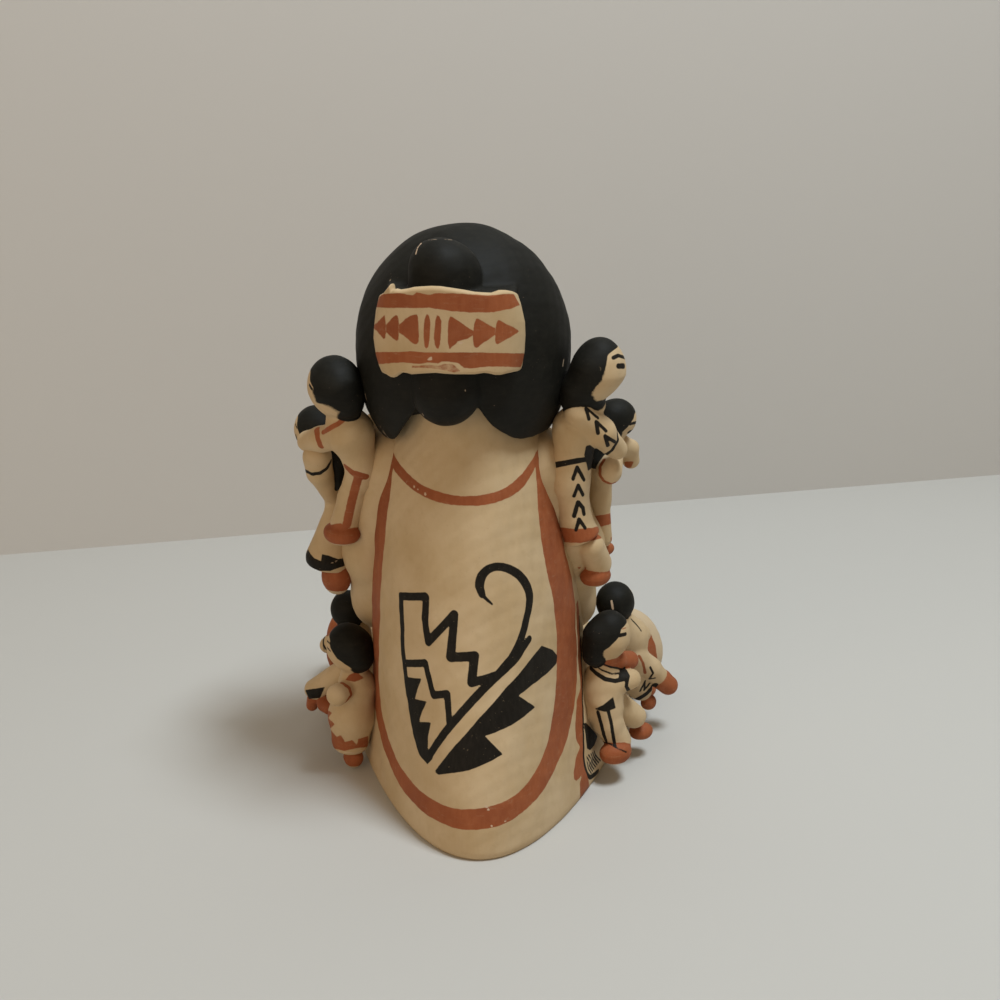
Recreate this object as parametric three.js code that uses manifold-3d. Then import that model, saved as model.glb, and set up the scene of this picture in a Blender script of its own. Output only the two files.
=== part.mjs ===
// A seated storyteller figure of hand-built, slip-painted clay. The large figure sits with its legs
// stretched forward, eyes closed and mouth open, and ten children cling to its arms, lap and legs.
// All of it was joined while the clay was damp and fired together, so it is one solid.
//
// Millimetres, +Z up. The figure faces -Y, its own left hand is on +X, and it sits on Z = 0, with the
// origin under the middle of its outer box.

import * as THREE from 'three';
import { mergeVertices } from 'three/addons/utils/BufferGeometryUtils.js';
import Module from 'manifold-3d';

const wasm = await Module();
wasm.setup();

// Driving dimensions.
const FIGURE_HEIGHT = 200; // table to crown of the large head
const TIE_WIDTH = 45; // hair tie, side to side
const TIE_HEIGHT = 24.5; // hair tie, along the knot
const TIE_STANDOFF = 10.5; // hair tie, how far its middle stands off the back of the head
const TIE_BOW = 14; // hair tie, how far its ends curve forward of its middle
const KNOT_WIDTH = 23; // looped hair knot, side to side
const MOUTH_DEPTH = 7; // how far the open mouth goes in
const CHILD_HEAD = 9.4; // radius of a child's head, for a child of size 1
const CHILD_NECK = 15; // middle of the head to middle of the chest, for a child of size 1
const CHILD_ARM = 10.5; // shoulder to elbow, and elbow to hand, for a child of size 1
const CHILD_LEG = 11.5; // hip to knee, and knee to heel, for a child of size 1

// The figure's own places and thicknesses are shares of its height, written as if that were 200.
const share = (value) => (value * FIGURE_HEIGHT) / 200;
const point = (x, y, z) => new THREE.Vector3(share(x), share(y), share(z));
const radians = THREE.MathUtils.degToRad;

// Facets round each kind of form and, for ball shapes, from top to bottom.
const FACETS = {
  body: 26,
  limb: 9,
  knot: 10,
  hair: [22, 12],
  face: [18, 10],
  lap: [10, 5],
  foot: [11, 7],
  nape: [10, 5],
  mouth: [8, 6],
  childHead: [10, 6],
  childTrunk: 7,
  childLimb: 6,
  childFoot: [6, 4],
};

const UP = new THREE.Vector3(0, 0, 1);

/** A closed geometry as a solid that can be joined and cut. */
function solid(geometry) {
  geometry.deleteAttribute('normal');
  geometry.deleteAttribute('uv');
  const merged = mergeVertices(geometry, 1e-4);
  const triangles = [];
  for (let i = 0; i < merged.index.count; i += 3) {
    const corners = [0, 1, 2].map((k) => merged.index.getX(i + k));
    if (new Set(corners).size === 3) triangles.push(...corners);
  }
  return new wasm.Manifold(new wasm.Mesh({
    numProp: 3,
    vertProperties: new Float32Array(merged.getAttribute('position').array),
    triVerts: new Uint32Array(triangles),
  }));
}

const joined = (solids) => solids.reduce((whole, next) => whole.add(next));

/** An ellipsoid, turned by a quaternion if one is given. Its unit ball can be shaped beforehand. */
function ball(centre, radii, facets, { turn = null, shape = null } = {}) {
  const geometry = new THREE.SphereGeometry(1, ...facets);
  geometry.rotateX(Math.PI / 2);
  if (shape) {
    const position = geometry.getAttribute('position');
    for (let i = 0; i < position.count; i += 1) {
      position.setXYZ(i, ...shape(position.getX(i), position.getY(i), position.getZ(i)));
    }
  }
  geometry.scale(...radii);
  if (turn) geometry.applyQuaternion(turn);
  geometry.translate(centre.x, centre.y, centre.z);
  return solid(geometry);
}

const along = (from, direction, distance) => from.clone().addScaledVector(direction, distance);

/** The rings of a limb: at each joint, and within each rounded end. */
function limbRings(joints, radii, capSteps, buried) {
  const last = joints.length - 1;
  const ways = joints.slice(1).map((joint, i) => joint.clone().sub(joints[i]).normalize());
  const rings = joints.map((joint, i) => {
    const before = ways[Math.max(i - 1, 0)];
    const after = ways[Math.min(i, last - 1)];
    const axis = before.clone().add(after).normalize();
    const across = before.clone().sub(after).normalize();
    const stretch = Math.min(1 / Math.max(axis.dot(before), 0.5), 1.2);
    return { centre: joint, radius: radii[i], axis, across, stretch };
  });
  const capRing = (joint, radius, axis, sine) => ({
    centre: along(joint, axis, radius * sine),
    radius: radius * Math.sqrt(1 - sine * sine),
    axis,
    across: axis,
    stretch: 1,
  });
  capSteps.forEach((sine) => {
    if (!buried) rings.unshift(capRing(joints[0], radii[0], ways[0], -sine));
    rings.push(capRing(joints[last], radii[last], ways[last - 1], sine));
  });
  return rings;
}

/**
 * A round limb through its joints, each with its own radius, with a rounded end. Its root is rounded
 * too, unless it is buried in another form.
 */
function limb(joints, radii, facets, buried = false) {
  const last = joints.length - 1;
  const rings = limbRings(joints, radii, facets > 8 ? [0.5, 0.9] : [0.72], buried);
  const first = rings[0].axis;
  let side = Math.abs(first.z) < 0.9 ? UP.clone().cross(first) : new THREE.Vector3(1, 0, 0);
  const vertices = [along(joints[0], first, buried ? -radii[0] / 4 : -radii[0])];
  rings.forEach(({ centre, radius, axis, across, stretch }) => {
    side = along(side, axis, -side.dot(axis)).normalize();
    const other = axis.clone().cross(side);
    for (let i = 0; i < facets; i += 1) {
      const angle = (2 * Math.PI * i) / facets;
      const offset = along(side.clone().multiplyScalar(Math.cos(angle)), other, Math.sin(angle));
      offset.addScaledVector(across, offset.dot(across) * (stretch - 1));
      vertices.push(along(centre, offset, radius));
    }
  });
  vertices.push(along(joints[last], rings.at(-1).axis, radii[last]));

  const triangles = [];
  const end = vertices.length - 1;
  for (let i = 0; i < facets; i += 1) {
    const next = (i + 1) % facets;
    triangles.push(0, 1 + next, 1 + i);
    for (let ring = 0; ring + 1 < rings.length; ring += 1) {
      const [low, high] = [1 + ring * facets, 1 + (ring + 1) * facets];
      triangles.push(low + i, low + next, high + i, high + i, low + next, high + next);
    }
    triangles.push(end, end - facets + i, end - facets + next);
  }
  const geometry = new THREE.BufferGeometry();
  const positions = vertices.flatMap((vertex) => vertex.toArray());
  geometry.setAttribute('position', new THREE.Float32BufferAttribute(positions, 3));
  geometry.setIndex(triangles);
  return solid(geometry);
}

// The robed body, level by level from the table to the neck: height, middle, half width, and how far
// the back and the belly reach. The back's outline goes from parabola (2) to ellipse (1) as it rises.
const BODY_LEVELS = [
  { z: 0, middle: 1.7, half: 45, back: 69, belly: 27, taper: 2 },
  { z: 2.5, middle: 1.7, half: 46, back: 71, belly: 29, taper: 2 },
  { z: 14, middle: 2.2, half: 43.8, back: 70, belly: 31, taper: 1.9 },
  { z: 34, middle: 3.5, half: 40, back: 65, belly: 31, taper: 1.6 },
  { z: 58, middle: 5, half: 37.8, back: 58, belly: 29, taper: 1.3 },
  { z: 84, middle: 5.8, half: 36.2, back: 51.5, belly: 26, taper: 1.15 },
  { z: 108, middle: 7.8, half: 32.2, back: 46, belly: 22, taper: 1.05 },
  { z: 123, middle: 7.4, half: 28.6, back: 41, belly: 18, taper: 1 },
  { z: 134, middle: 7, half: 22, back: 36, belly: 10, taper: 1 },
  { z: 148, middle: 7, half: 17, back: 32, belly: 5, taper: 1 },
];
const BODY_MIDDLE_Y = 6;

function body() {
  const profile = BODY_LEVELS.map(({ z }) => new THREE.Vector2(1, z));
  profile.unshift(new THREE.Vector2(0, 0));
  profile.push(new THREE.Vector2(0, BODY_LEVELS.at(-1).z));
  const geometry = new THREE.LatheGeometry(profile, FACETS.body);
  geometry.rotateX(Math.PI / 2);
  const position = geometry.getAttribute('position');
  for (let i = 0; i < position.count; i += 1) {
    const [x, y, height] = [position.getX(i), position.getY(i), position.getZ(i)];
    const level = BODY_LEVELS.find(({ z }) => Math.abs(z - height) < 0.01);
    const behind = (level.back - BODY_MIDDLE_Y) * Math.max(y, 0) ** level.taper;
    const before = (level.belly + BODY_MIDDLE_Y) * Math.min(y, 0);
    const across = level.middle + x * level.half;
    position.setXYZ(i, share(across), share(BODY_MIDDLE_Y + behind + before), share(height));
  }
  return solid(geometry);
}

// The large head, with hair that hangs to the shoulders, a small nose and an open mouth.
const HEAD = { x: 8, y: 11, z: 165, wide: 35, deep: 34, high: 35 };
const HAIR_END = 131; // height of the hair's lower edge
const HAIR_THICKNESS = 1;

/** The hair's outline: round above, fuller and longer below, and thin towards the face. */
function hairShape(x, y, z) {
  const across = Math.hypot(x, y);
  const drop = z < 0 ? 1.31 : 1;
  const full = z < 0 && across > 1e-6 ? (1 - (-z) ** 2.3) ** (1 / 2.3) / across : 1;
  return [x * full, y * full * (y < 0 ? 0.3 : 1), z * drop];
}

function head() {
  const { x, y, z, wide, deep, high } = HEAD;
  const faceRadii = [wide, deep - 1, high].map((radius) => share(radius - HAIR_THICKNESS));
  const face = ball(point(x, y - 2, z), faceRadii, FACETS.face);
  const nape = ball(point(x + 4, y + 29, HAIR_END), [18, 22, 13].map(share), FACETS.nape);
  const hair = ball(point(x, y, z), [wide, deep, high].map(share), FACETS.hair, { shape: hairShape })
    .subtract(slabBelow(share(HAIR_END)))
    .subtract(nape);
  const bridge = point(x, y - 33, z + 1);
  const nose = limb([bridge, point(x, y - 34, z - 6)], [2, 3.6].map(share), FACETS.childLimb);
  const lips = ball(point(x, y - 31, z - 16.5), [7.2, 4, 6.4].map(share), FACETS.mouth);
  const opening = [share(4.6), MOUTH_DEPTH, share(3.8)];
  const mouth = ball(point(x, y - 34, z - 16.5), opening, FACETS.mouth);
  return joined([face, hair, nose, lips]).subtract(mouth);
}

// The knot: a loop of hair stands up the back of the head, bound round its middle by a woven tie.
const KNOT = { x: 10.5, y: 38.5, z: 171.3, reach: 16.8 };
const TIE_MIDDLE = 174; // height of the tie's middle

function knot() {
  const ends = [1, -1].map((side) => point(KNOT.x, KNOT.y - side * 2, KNOT.z + side * KNOT.reach));
  return limb(ends, [KNOT_WIDTH / 2, KNOT_WIDTH / 2], FACETS.knot);
}

function tie() {
  const [middle, half] = [share(KNOT.x), TIE_WIDTH / 2];
  const back = share(HEAD.y + HEAD.deep) + TIE_STANDOFF;
  const end = back - TIE_BOW;
  const bow = end + TIE_BOW * 0.7;
  const outline = new THREE.Shape();
  outline.moveTo(middle - half * 0.8, share(HEAD.y));
  outline.lineTo(middle + half * 0.8, share(HEAD.y));
  outline.lineTo(middle + half, end);
  outline.bezierCurveTo(middle + half, bow, middle + half * 0.6, back, middle, back);
  outline.bezierCurveTo(middle - half * 0.6, back, middle - half, bow, middle - half, end);
  const geometry = new THREE.ExtrudeGeometry(outline, {
    depth: TIE_HEIGHT,
    bevelEnabled: false,
    curveSegments: 5,
  });
  geometry.translate(0, 0, share(TIE_MIDDLE) - TIE_HEIGHT / 2);
  return solid(geometry);
}

/** One arm of the large figure: down its side, then forward round the children on its lap. */
function arm(side) {
  const joints = [
    point(7 + side * 23, 11, 118),
    point(5 + side * 35, 4, 84),
    point(4 + side * 35, -4, 62),
    point(3 + side * 28, -30, 55),
    point(2 + side * 17, -44, 60),
  ];
  return limb(joints, [14, 12, 11.5, 10, 8].map(share), FACETS.limb);
}

/** One leg, stretched forward and outward along the table, with its foot upright. */
function leg(side) {
  const joints = [point(2 + side * 22, 2, 22), point(side * 40, -36, 18), point(side * 52, -54, 15)];
  const turn = new THREE.Quaternion().setFromAxisAngle(UP, side * radians(22));
  const foot = ball(point(side * 56, -58, 15.5), [14.5, 9.5, 20.5].map(share), FACETS.foot, { turn });
  return limb(joints, [22, 17, 13.5].map(share), FACETS.limb).add(foot);
}

/** The clay between the belly and the legs that the children on the lap sit on. */
function lap() {
  return ball(point(1, -22, 30), [33, 27, 22].map(share), FACETS.lap);
}

// Where each child is, as shares of the height like the figure's own places: the middle of its head,
// its seat, the hem of its skirt or trousers, and its hands and feet, left before right. girth is how
// thick it is at the chest, the seat and the hem. turn is the way that it faces (0 is forward, 90 is
// to the figure's left), and nod drops its chin. shin is the thickness of legs that show below a hem.
const CHILDREN = {
  leftShoulder: {
    size: 1.02, turn: 64, nod: 10, girth: [8, 6.6, 5.4],
    head: [49.2, 22, 148.5], seat: [46.5, 19, 112], hem: [49, 16, 100.5],
    hands: [[62.5, 8, 126.5], [40, 2, 130]], feet: [[50.5, 15, 93.5], [44, 6, 95]],
  },
  leftElbow: {
    size: 0.82, turn: 55, nod: 10, girth: [6, 4.8, 9.4],
    head: [63, -4, 126.5], seat: [57.8, 0.5, 97], hem: [57.3, 3, 80],
    hands: [[59, 4, 105], [46.5, -9, 110]], feet: [[55.6, 5, 70.5], [53, -3, 71.5]],
  },
  rightShoulder: {
    size: 1.06, turn: -62, nod: 0, girth: [8.2, 7, 7],
    head: [-35, 22, 154], seat: [-29.5, 20, 112], hem: [-32, 18, 96],
    hands: [[-30, -2, 130], [-44.5, 5, 124.5]], feet: [[-31, 7, 77], [-37.5, 13, 76]],
    shin: 5.6,
  },
  rightElbow: {
    size: 0.78, turn: -50, nod: 6, girth: [6.2, 5, 4.4],
    head: [-43.4, -2, 131.5], seat: [-39.5, 1, 104], hem: [-41, 0, 88],
    hands: [[-49, -8, 114.5], [-41.3, 8, 115]], feet: [[-43, -7, 80], [-42, 0, 79]],
  },
  rightHip: {
    size: 1, turn: -58, nod: 6, girth: [8.4, 8.4],
    head: [-42.2, 14, 54.8], seat: [-42, 15, 28],
    hands: [[-50, -6, 38], [-56.5, 1, 29]], feet: [[-55, -2, 8], [-46.5, 9.5, 5]],
  },
  rightKnee: {
    size: 0.84, turn: -50, nod: 0, girth: [7, 7.4],
    head: [-46, -12, 56.5], seat: [-46.5, -15, 32],
    hands: [[-57, -26, 38], [-66, -17.5, 20.5]], feet: [[-60, -27, 13], [-60.5, -14, 12]],
  },
  leftHip: {
    size: 0.92, turn: 62, nod: 14, girth: [7.8, 9.4, 9.6],
    head: [50.2, 14, 49.5], seat: [49.1, 15.5, 26], hem: [50.6, 13.5, 12],
    hands: [[57.5, 9, 28], [65.3, 0, 21]], feet: [[51.5, 12, 4.5], [57, 4, 5]],
  },
  leftKnee: {
    size: 0.72, turn: 48, nod: 0, girth: [6.4, 7, 6.6],
    head: [55, -10, 54], seat: [50.5, -13, 33], hem: [57, -18, 21],
    hands: [[64, -13, 36], [57, -24, 39]], feet: [[61, -16, 13], [61, -23, 14]],
  },
  lapLeft: {
    size: 0.95, turn: 16, nod: 6, girth: [7.6, 8],
    head: [17, -33, 89], seat: [15, -31, 62],
    hands: [[26, -43, 72], [7, -46, 72]], feet: [[21, -53, 50], [12, -55, 48]],
  },
  lapRight: {
    size: 1, turn: -14, nod: 6, girth: [8, 8.6, 8],
    head: [-14, -32, 87], seat: [-13, -31, 60], hem: [-14, -46, 50],
    hands: [[-4, -46, 70], [-24, -43, 68]], feet: [[-11, -54, 45], [-19, -53, 45]],
  },
};

/** The joint between two equal stretches from root to goal, bent towards a side, never sharply. */
function bend(root, goal, stretch, towards) {
  const span = goal.clone().sub(root);
  const half = span.length() / 2;
  const rise = Math.min(Math.sqrt(Math.max(stretch * stretch - half * half, 0)), half * 0.7);
  const axis = span.clone().normalize();
  const out = along(towards, axis, -towards.dot(axis)).normalize();
  return along(along(root, span, 0.5), out, rise);
}

function child({ size, turn, nod, girth, hem, hands, feet, shin, ...places }) {
  const k = (value) => share(value * size);
  const [head, seat] = [point(...places.head), point(...places.seat)];
  const spine = head.clone().sub(seat).normalize();
  const facing = new THREE.Vector3(Math.sin(radians(turn)), -Math.cos(radians(turn)), 0);
  const front = along(facing, spine, -facing.dot(spine)).normalize();
  const left = spine.clone().cross(front);
  const chest = along(along(head, spine, -k(CHILD_NECK)), front, k(0.5));

  const stance = new THREE.Quaternion().setFromAxisAngle(UP, radians(turn));
  const gaze = stance.clone().multiply(
    new THREE.Quaternion().setFromAxisAngle(new THREE.Vector3(1, 0, 0), radians(nod)),
  );
  const skull = [CHILD_HEAD, CHILD_HEAD * 1.03, CHILD_HEAD * 1.1].map(k);
  const trunk = [along(head, spine, -k(CHILD_HEAD - 2)), chest, seat];
  if (hem) trunk.push(point(...hem));
  const parts = [
    ball(head, skull, FACETS.childHead, { turn: gaze }),
    limb(trunk, [k(5), ...girth.map(share)], FACETS.childTrunk, true),
  ];

  const addLimb = (joints, radii) => parts.push(limb(joints, radii, FACETS.childLimb, true));
  [1, -1].forEach((side, i) => {
    const shoulder = along(chest, left, side * (share(girth[0]) - k(2.2)));
    const hand = point(...hands[i]);
    const outward = along(left.clone().multiplyScalar(side), spine, -1);
    addLimb([shoulder, bend(shoulder, hand, k(CHILD_ARM), outward), hand], [5.7, 5.3, 5.2].map(k));
    const heel = point(...feet[i]);
    const sole = along(heel, facing, k(2));
    parts.push(ball(sole, [5.6, 7.8, 4.8].map(k), FACETS.childFoot, { turn: stance }));
    const hip = along(seat, left, side * k(4.2));
    if (!hem) addLimb([hip, bend(hip, heel, k(CHILD_LEG), front), heel], [7, 6.4, 5.5].map(k));
    if (shin) addLimb([point(...hem), heel], [shin, shin].map(share));
  });
  return joined(parts);
}

/** Everything below a height, for cutting off flat. */
function slabBelow(height) {
  const size = FIGURE_HEIGHT * 2;
  const geometry = new THREE.BoxGeometry(size, size, size);
  geometry.translate(0, 0, height - size / 2);
  return solid(geometry);
}

function figure() {
  const parts = [body(), lap(), head(), knot(), tie(), arm(1), arm(-1), leg(1), leg(-1)];
  parts.push(...Object.values(CHILDREN).map(child));
  return joined(parts).subtract(slabBelow(0));
}

/** A solid as a mesh's geometry, with the origin under the middle of its outer box. */
function centredGeometry(shape) {
  const { vertProperties, triVerts } = shape.getMesh();
  const geometry = new THREE.BufferGeometry();
  geometry.setAttribute('position', new THREE.BufferAttribute(new Float32Array(vertProperties), 3));
  geometry.setIndex(new THREE.BufferAttribute(new Uint32Array(triVerts), 1));
  geometry.computeBoundingBox();
  const middle = geometry.boundingBox.getCenter(new THREE.Vector3());
  geometry.translate(-middle.x, -middle.y, 0);
  geometry.computeVertexNormals();
  return geometry;
}

const slip = new THREE.MeshStandardMaterial({ color: 0xc9b48e, roughness: 0.75, metalness: 0 });
const storyteller = new THREE.Mesh(centredGeometry(figure()), slip);
storyteller.name = 'storyteller_figure';

const group = new THREE.Group();
group.add(storyteller);

export default group;
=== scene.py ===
"""A seated storyteller figure of slip-painted clay, seen from behind, on a pale table.

Lengths are in millimetres in the figure's own frame (it faces -Y, its left hand is on +X) until a
mesh is made. Each form is a distance function, skinned with quads. Each colour of slip is a signed
distance too (negative where it was brushed on), kept on the vertices for the material to read.
"""
import math

import bpy
import numpy as np
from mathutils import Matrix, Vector


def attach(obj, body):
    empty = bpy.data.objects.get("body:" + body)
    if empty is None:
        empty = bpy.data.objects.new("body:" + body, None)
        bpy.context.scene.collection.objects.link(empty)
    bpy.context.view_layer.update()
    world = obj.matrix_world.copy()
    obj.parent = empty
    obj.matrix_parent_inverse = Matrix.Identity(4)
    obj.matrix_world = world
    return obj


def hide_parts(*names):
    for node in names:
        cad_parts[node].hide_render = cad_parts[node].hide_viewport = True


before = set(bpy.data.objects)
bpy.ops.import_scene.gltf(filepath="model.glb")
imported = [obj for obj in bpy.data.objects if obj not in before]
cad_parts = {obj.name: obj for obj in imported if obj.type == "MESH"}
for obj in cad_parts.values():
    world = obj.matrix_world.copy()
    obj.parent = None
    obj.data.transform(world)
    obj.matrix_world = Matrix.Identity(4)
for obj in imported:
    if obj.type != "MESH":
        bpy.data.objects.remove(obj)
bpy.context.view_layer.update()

NODE = "storyteller_figure"
MM = 0.001
SHIFT = np.array([-0.10, -1.49, 0.0])  # from the figure's frame to the part's, which is centred
FAR = 9.0  # a slip layer's distance where it isn't near
ENDLESS = 1e9
PROBE = 0.15  # how far to each side a form's slope is measured
LEAST_GRADE = 0.3  # what a form's squared slope counts as at least, when points are drawn onto it
# The last layer is clay showing through nicks and chips, and also painted highlights.
LAYERS = ("hair", "rust", "line", "pale", "bare_and_highlight")


# Distances

def vec(*values):
    return np.array(values, float)


def unit(v):
    return np.asarray(v, float) / np.linalg.norm(v)


def ball(p, centre, radii, axes=None):
    q = p - centre
    if axes is not None:
        q = q @ axes
    near = np.linalg.norm(q / radii, axis=1)
    far = np.linalg.norm(q / np.square(radii), axis=1)
    return near * (near - 1) / np.maximum(far, 1e-6)


def cone(p, a, b, ra, rb):
    ab = b - a
    q = p - a
    t = np.clip(q @ ab / (ab @ ab), 0, 1)
    return np.linalg.norm(q - t[:, None] * ab, axis=1) - (ra + (rb - ra) * t)


def smooth(d, e, k):
    h = np.clip(0.5 + 0.5 * (e - d) / k, 0, 1)
    return e * (1 - h) + d * h - k * h * (1 - h)


def smooth_cut(d, e, k):
    return -smooth(-d, -e, k)


def chain(p, joints, radii, k=2.0):
    d = cone(p, joints[0], joints[1], radii[0], radii[1])
    for i in range(1, len(joints) - 1):
        d = smooth(d, cone(p, joints[i], joints[i + 1], radii[i], radii[i + 1]), k)
    return d


def uneven(p, size, seed=0.0):
    """The slight waviness of a hand-smoothed surface."""
    x, y, z = p[:, 0], p[:, 1], p[:, 2]
    w = np.sin(x * 0.31 + 1.7 + seed) * np.sin(y * 0.27 + z * 0.11 + seed)
    w = w + 0.6 * np.sin(z * 0.43 + x * 0.2 + seed * 2) * np.sin(y * 0.39 + 0.5)
    return size * (w + 0.4 * np.sin(x * 0.83 + z * 0.71 + seed) * np.sin(y * 0.9 - z * 0.3))


def curve(points, count=6):
    """More points on a smooth line through the given ones."""
    points = np.asarray(points, float)
    ends = np.vstack([2 * points[0] - points[1], points, 2 * points[-1] - points[-2]])
    t = np.linspace(0, 1, count, endpoint=False)[:, None]
    rows = []
    for a, b, c, d in zip(ends[:-3], ends[1:-2], ends[2:-1], ends[3:]):
        square, cube = 2 * a - 5 * b + 4 * c - d, 3 * b - a - 3 * c + d
        rows.append(0.5 * (2 * b + (c - a) * t + square * t ** 2 + cube * t ** 3))
    return np.vstack([*rows, points[-1:]])


def stroke(p, points, radius=None):
    """Distance to a brush stroke. Without a radius, each point's last number is its own."""
    points = np.asarray(points, float)
    radii = points[:, -1] if radius is None else np.full(len(points), radius)
    spots = points[:, :-1] if radius is None else points
    d = np.full(len(p), ENDLESS)
    for a, b, ra, rb in zip(spots[:-1], spots[1:], radii[:-1], radii[1:]):
        ab = b - a
        t = np.clip((p - a) @ ab / max(ab @ ab, 1e-9), 0, 1)
        np.minimum(d, np.linalg.norm(p - a - t[:, None] * ab, axis=1) - ra - (rb - ra) * t, out=d)
    return d


def polygon(p, corners):
    """Signed distance to a flat polygon."""
    corners = np.asarray(corners, float)
    d = np.full(len(p), ENDLESS)
    inside = np.zeros(len(p), bool)
    for i in range(len(corners)):
        a, b = corners[i - 1], corners[i]
        d = np.minimum(d, stroke(p, [a, b], 0.0))
        crosses = (a[1] > p[:, 1]) != (b[1] > p[:, 1])
        rise = b[1] - a[1] if b[1] != a[1] else 1e-9
        inside ^= crosses & (p[:, 0] < (b[0] - a[0]) * (p[:, 1] - a[1]) / rise + a[0])
    return np.where(inside, -d, d)


# Skins and pieces

def skin(distance, low, high, step):
    """Quads on a distance function's zero surface, by surface nets, then twice drawn onto it."""
    axes = [np.arange(a - 2 * step, b + 3 * step, step) for a, b in zip(low, high)]
    field = np.empty([len(axis) for axis in axes], np.float32)
    plane = np.stack(np.meshgrid(axes[1], axes[2], indexing="ij"), -1).reshape(-1, 2)
    points = np.empty((len(plane), 3))
    points[:, 1:] = plane
    for i, x in enumerate(axes[0]):
        points[:, 0] = x
        field[i] = distance(points).reshape(field.shape[1:])
    inside = field < 0
    stride = np.array([field.shape[1] * field.shape[2], field.shape[2], 1])
    ids, spots, quads = [], [], []
    for axis in range(3):
        u, v = (axis + 1) % 3, (axis + 2) % 3
        lower, upper = [slice(None)] * 3, [slice(None)] * 3
        lower[axis], upper[axis] = slice(0, -1), slice(1, None)
        at = np.argwhere(inside[tuple(lower)] != inside[tuple(upper)])
        after = at.copy()
        after[:, axis] += 1
        f0, f1 = field[tuple(at.T)], field[tuple(after.T)]
        spot = at.astype(float)
        spot[:, axis] += f0 / (f0 - f1)
        corners = []
        for du, dv in ((0, 0), (1, 0), (1, 1), (0, 1)):
            cell = at.copy()
            cell[:, u] -= du
            cell[:, v] -= dv
            corners.append(cell @ stride)
            spots.append(spot)
        ids += corners
        quad = np.stack(corners, 1)
        quad[f0 >= 0] = quad[f0 >= 0][:, ::-1]
        quads.append(quad)
    cells, where = np.unique(np.concatenate(ids), return_inverse=True)
    spots, count = np.concatenate(spots), np.bincount(where)
    points = np.stack([np.bincount(where, spots[:, k]) / count for k in range(3)], 1)
    points = points * step + np.array([axis[0] for axis in axes])
    for _ in range(2):
        points -= pull(distance, points, step * 0.5)
    return points, np.searchsorted(cells, np.concatenate(quads))


def slope(distance, points):
    steps = np.eye(3) * PROBE
    return np.stack([distance(points + s) - distance(points - s) for s in steps], 1) / (2 * PROBE)


def pull(distance, points, most):
    grade = slope(distance, points)
    move = distance(points)[:, None] * grade / np.maximum((grade ** 2).sum(1), LEAST_GRADE)[:, None]
    length = np.linalg.norm(move, axis=1)
    return move * np.minimum(1, most / np.maximum(length, 1e-9))[:, None]


# The camera, and the picture as it falls in it: 1000 x 1000 pixels, with places as (u, v).
MIDDLE = 500
EYE = vec(-18.3, 432.6, 259.0)
TURN, PITCH, FOCAL = math.radians(2.0), math.radians(20.0), 1300.0
AHEAD = vec(math.sin(TURN) * math.cos(PITCH), -math.cos(TURN) * math.cos(PITCH), -math.sin(PITCH))
ACROSS = unit(np.cross(AHEAD, vec(0, 0, 1)))
UPWARD = np.cross(ACROSS, AHEAD)
SIGHTS = np.arange(330, 500, 0.2)  # how far along a ray the figure can be
# Pixels to a millimetre at the children, the tie and the right foot.
PER_MM, TIE_PER_MM, FOOT_PER_MM = 3.15, 3.3, 2.7
BRUSH_STEP = 3  # pixels between a stroke's points
PATCH_DEPTH = 11.0  # how far to either side of its depth a patch reaches


def ray_through(u, v):
    return AHEAD + ACROSS * (u - MIDDLE) / FOCAL + UPWARD * (MIDDLE - v) / FOCAL


def seen_at(u, v, y):
    """The point at depth y that shows at a pixel."""
    ray = ray_through(u, v)
    return EYE + ray * (y - EYE[1]) / ray[1]


def sighted(distance, u, v):
    """The point of a form that shows at a pixel."""
    points = EYE + SIGHTS[:, None] * ray_through(u, v)
    d = distance(points)
    hit = np.flatnonzero(d < 0)
    return points[hit[0] if len(hit) else d.argmin()]


def pictured(p):
    """Where points fall in the picture."""
    r = p - EYE
    depth = r @ AHEAD
    return np.stack([MIDDLE + FOCAL * (r @ ACROSS) / depth, MIDDLE - FOCAL * (r @ UPWARD) / depth], 1)


def brushed(p, distance, path, width):
    """A stroke laid on a form through pixels, its width in pixels too."""
    fine = []
    for (u, v), (du, dv) in zip(path[:-1], path[1:]):
        count = max(2, int(math.hypot(du - u, dv - v) / BRUSH_STEP))
        fine += [(u + (du - u) * i / count, v + (dv - v) * i / count) for i in range(count)]
    fine.append(path[-1])
    return stroke(p, [sighted(distance, u, v) for u, v in fine], width / 2 / PER_MM)


def patched(p, corners, y):
    """A filled shape seen in the picture, on what lies near the depth y."""
    flat = polygon(pictured(p), corners) / PER_MM
    return np.where(np.abs(p[:, 1] - y) < PATCH_DEPTH, flat, FAR)


def add_piece(name, points, faces, layers):
    mesh = bpy.data.meshes.new(name)
    places = ((points + SHIFT) * MM).tolist()
    mesh.from_pydata(places, [], faces if isinstance(faces, list) else faces.tolist())
    mesh.shade_smooth()
    for key in LAYERS:
        values = np.broadcast_to(layers.get(key, FAR), len(points))
        values = np.clip(values, -FAR, FAR).astype(np.float32)
        mesh.attributes.new(key, "FLOAT", "POINT").data.foreach_set("value", values)
    mesh.materials.append(slip)
    piece = bpy.data.objects.new(name, mesh)
    bpy.context.scene.collection.objects.link(piece)
    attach(piece, "root")
    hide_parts(NODE)


# The slip

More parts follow.
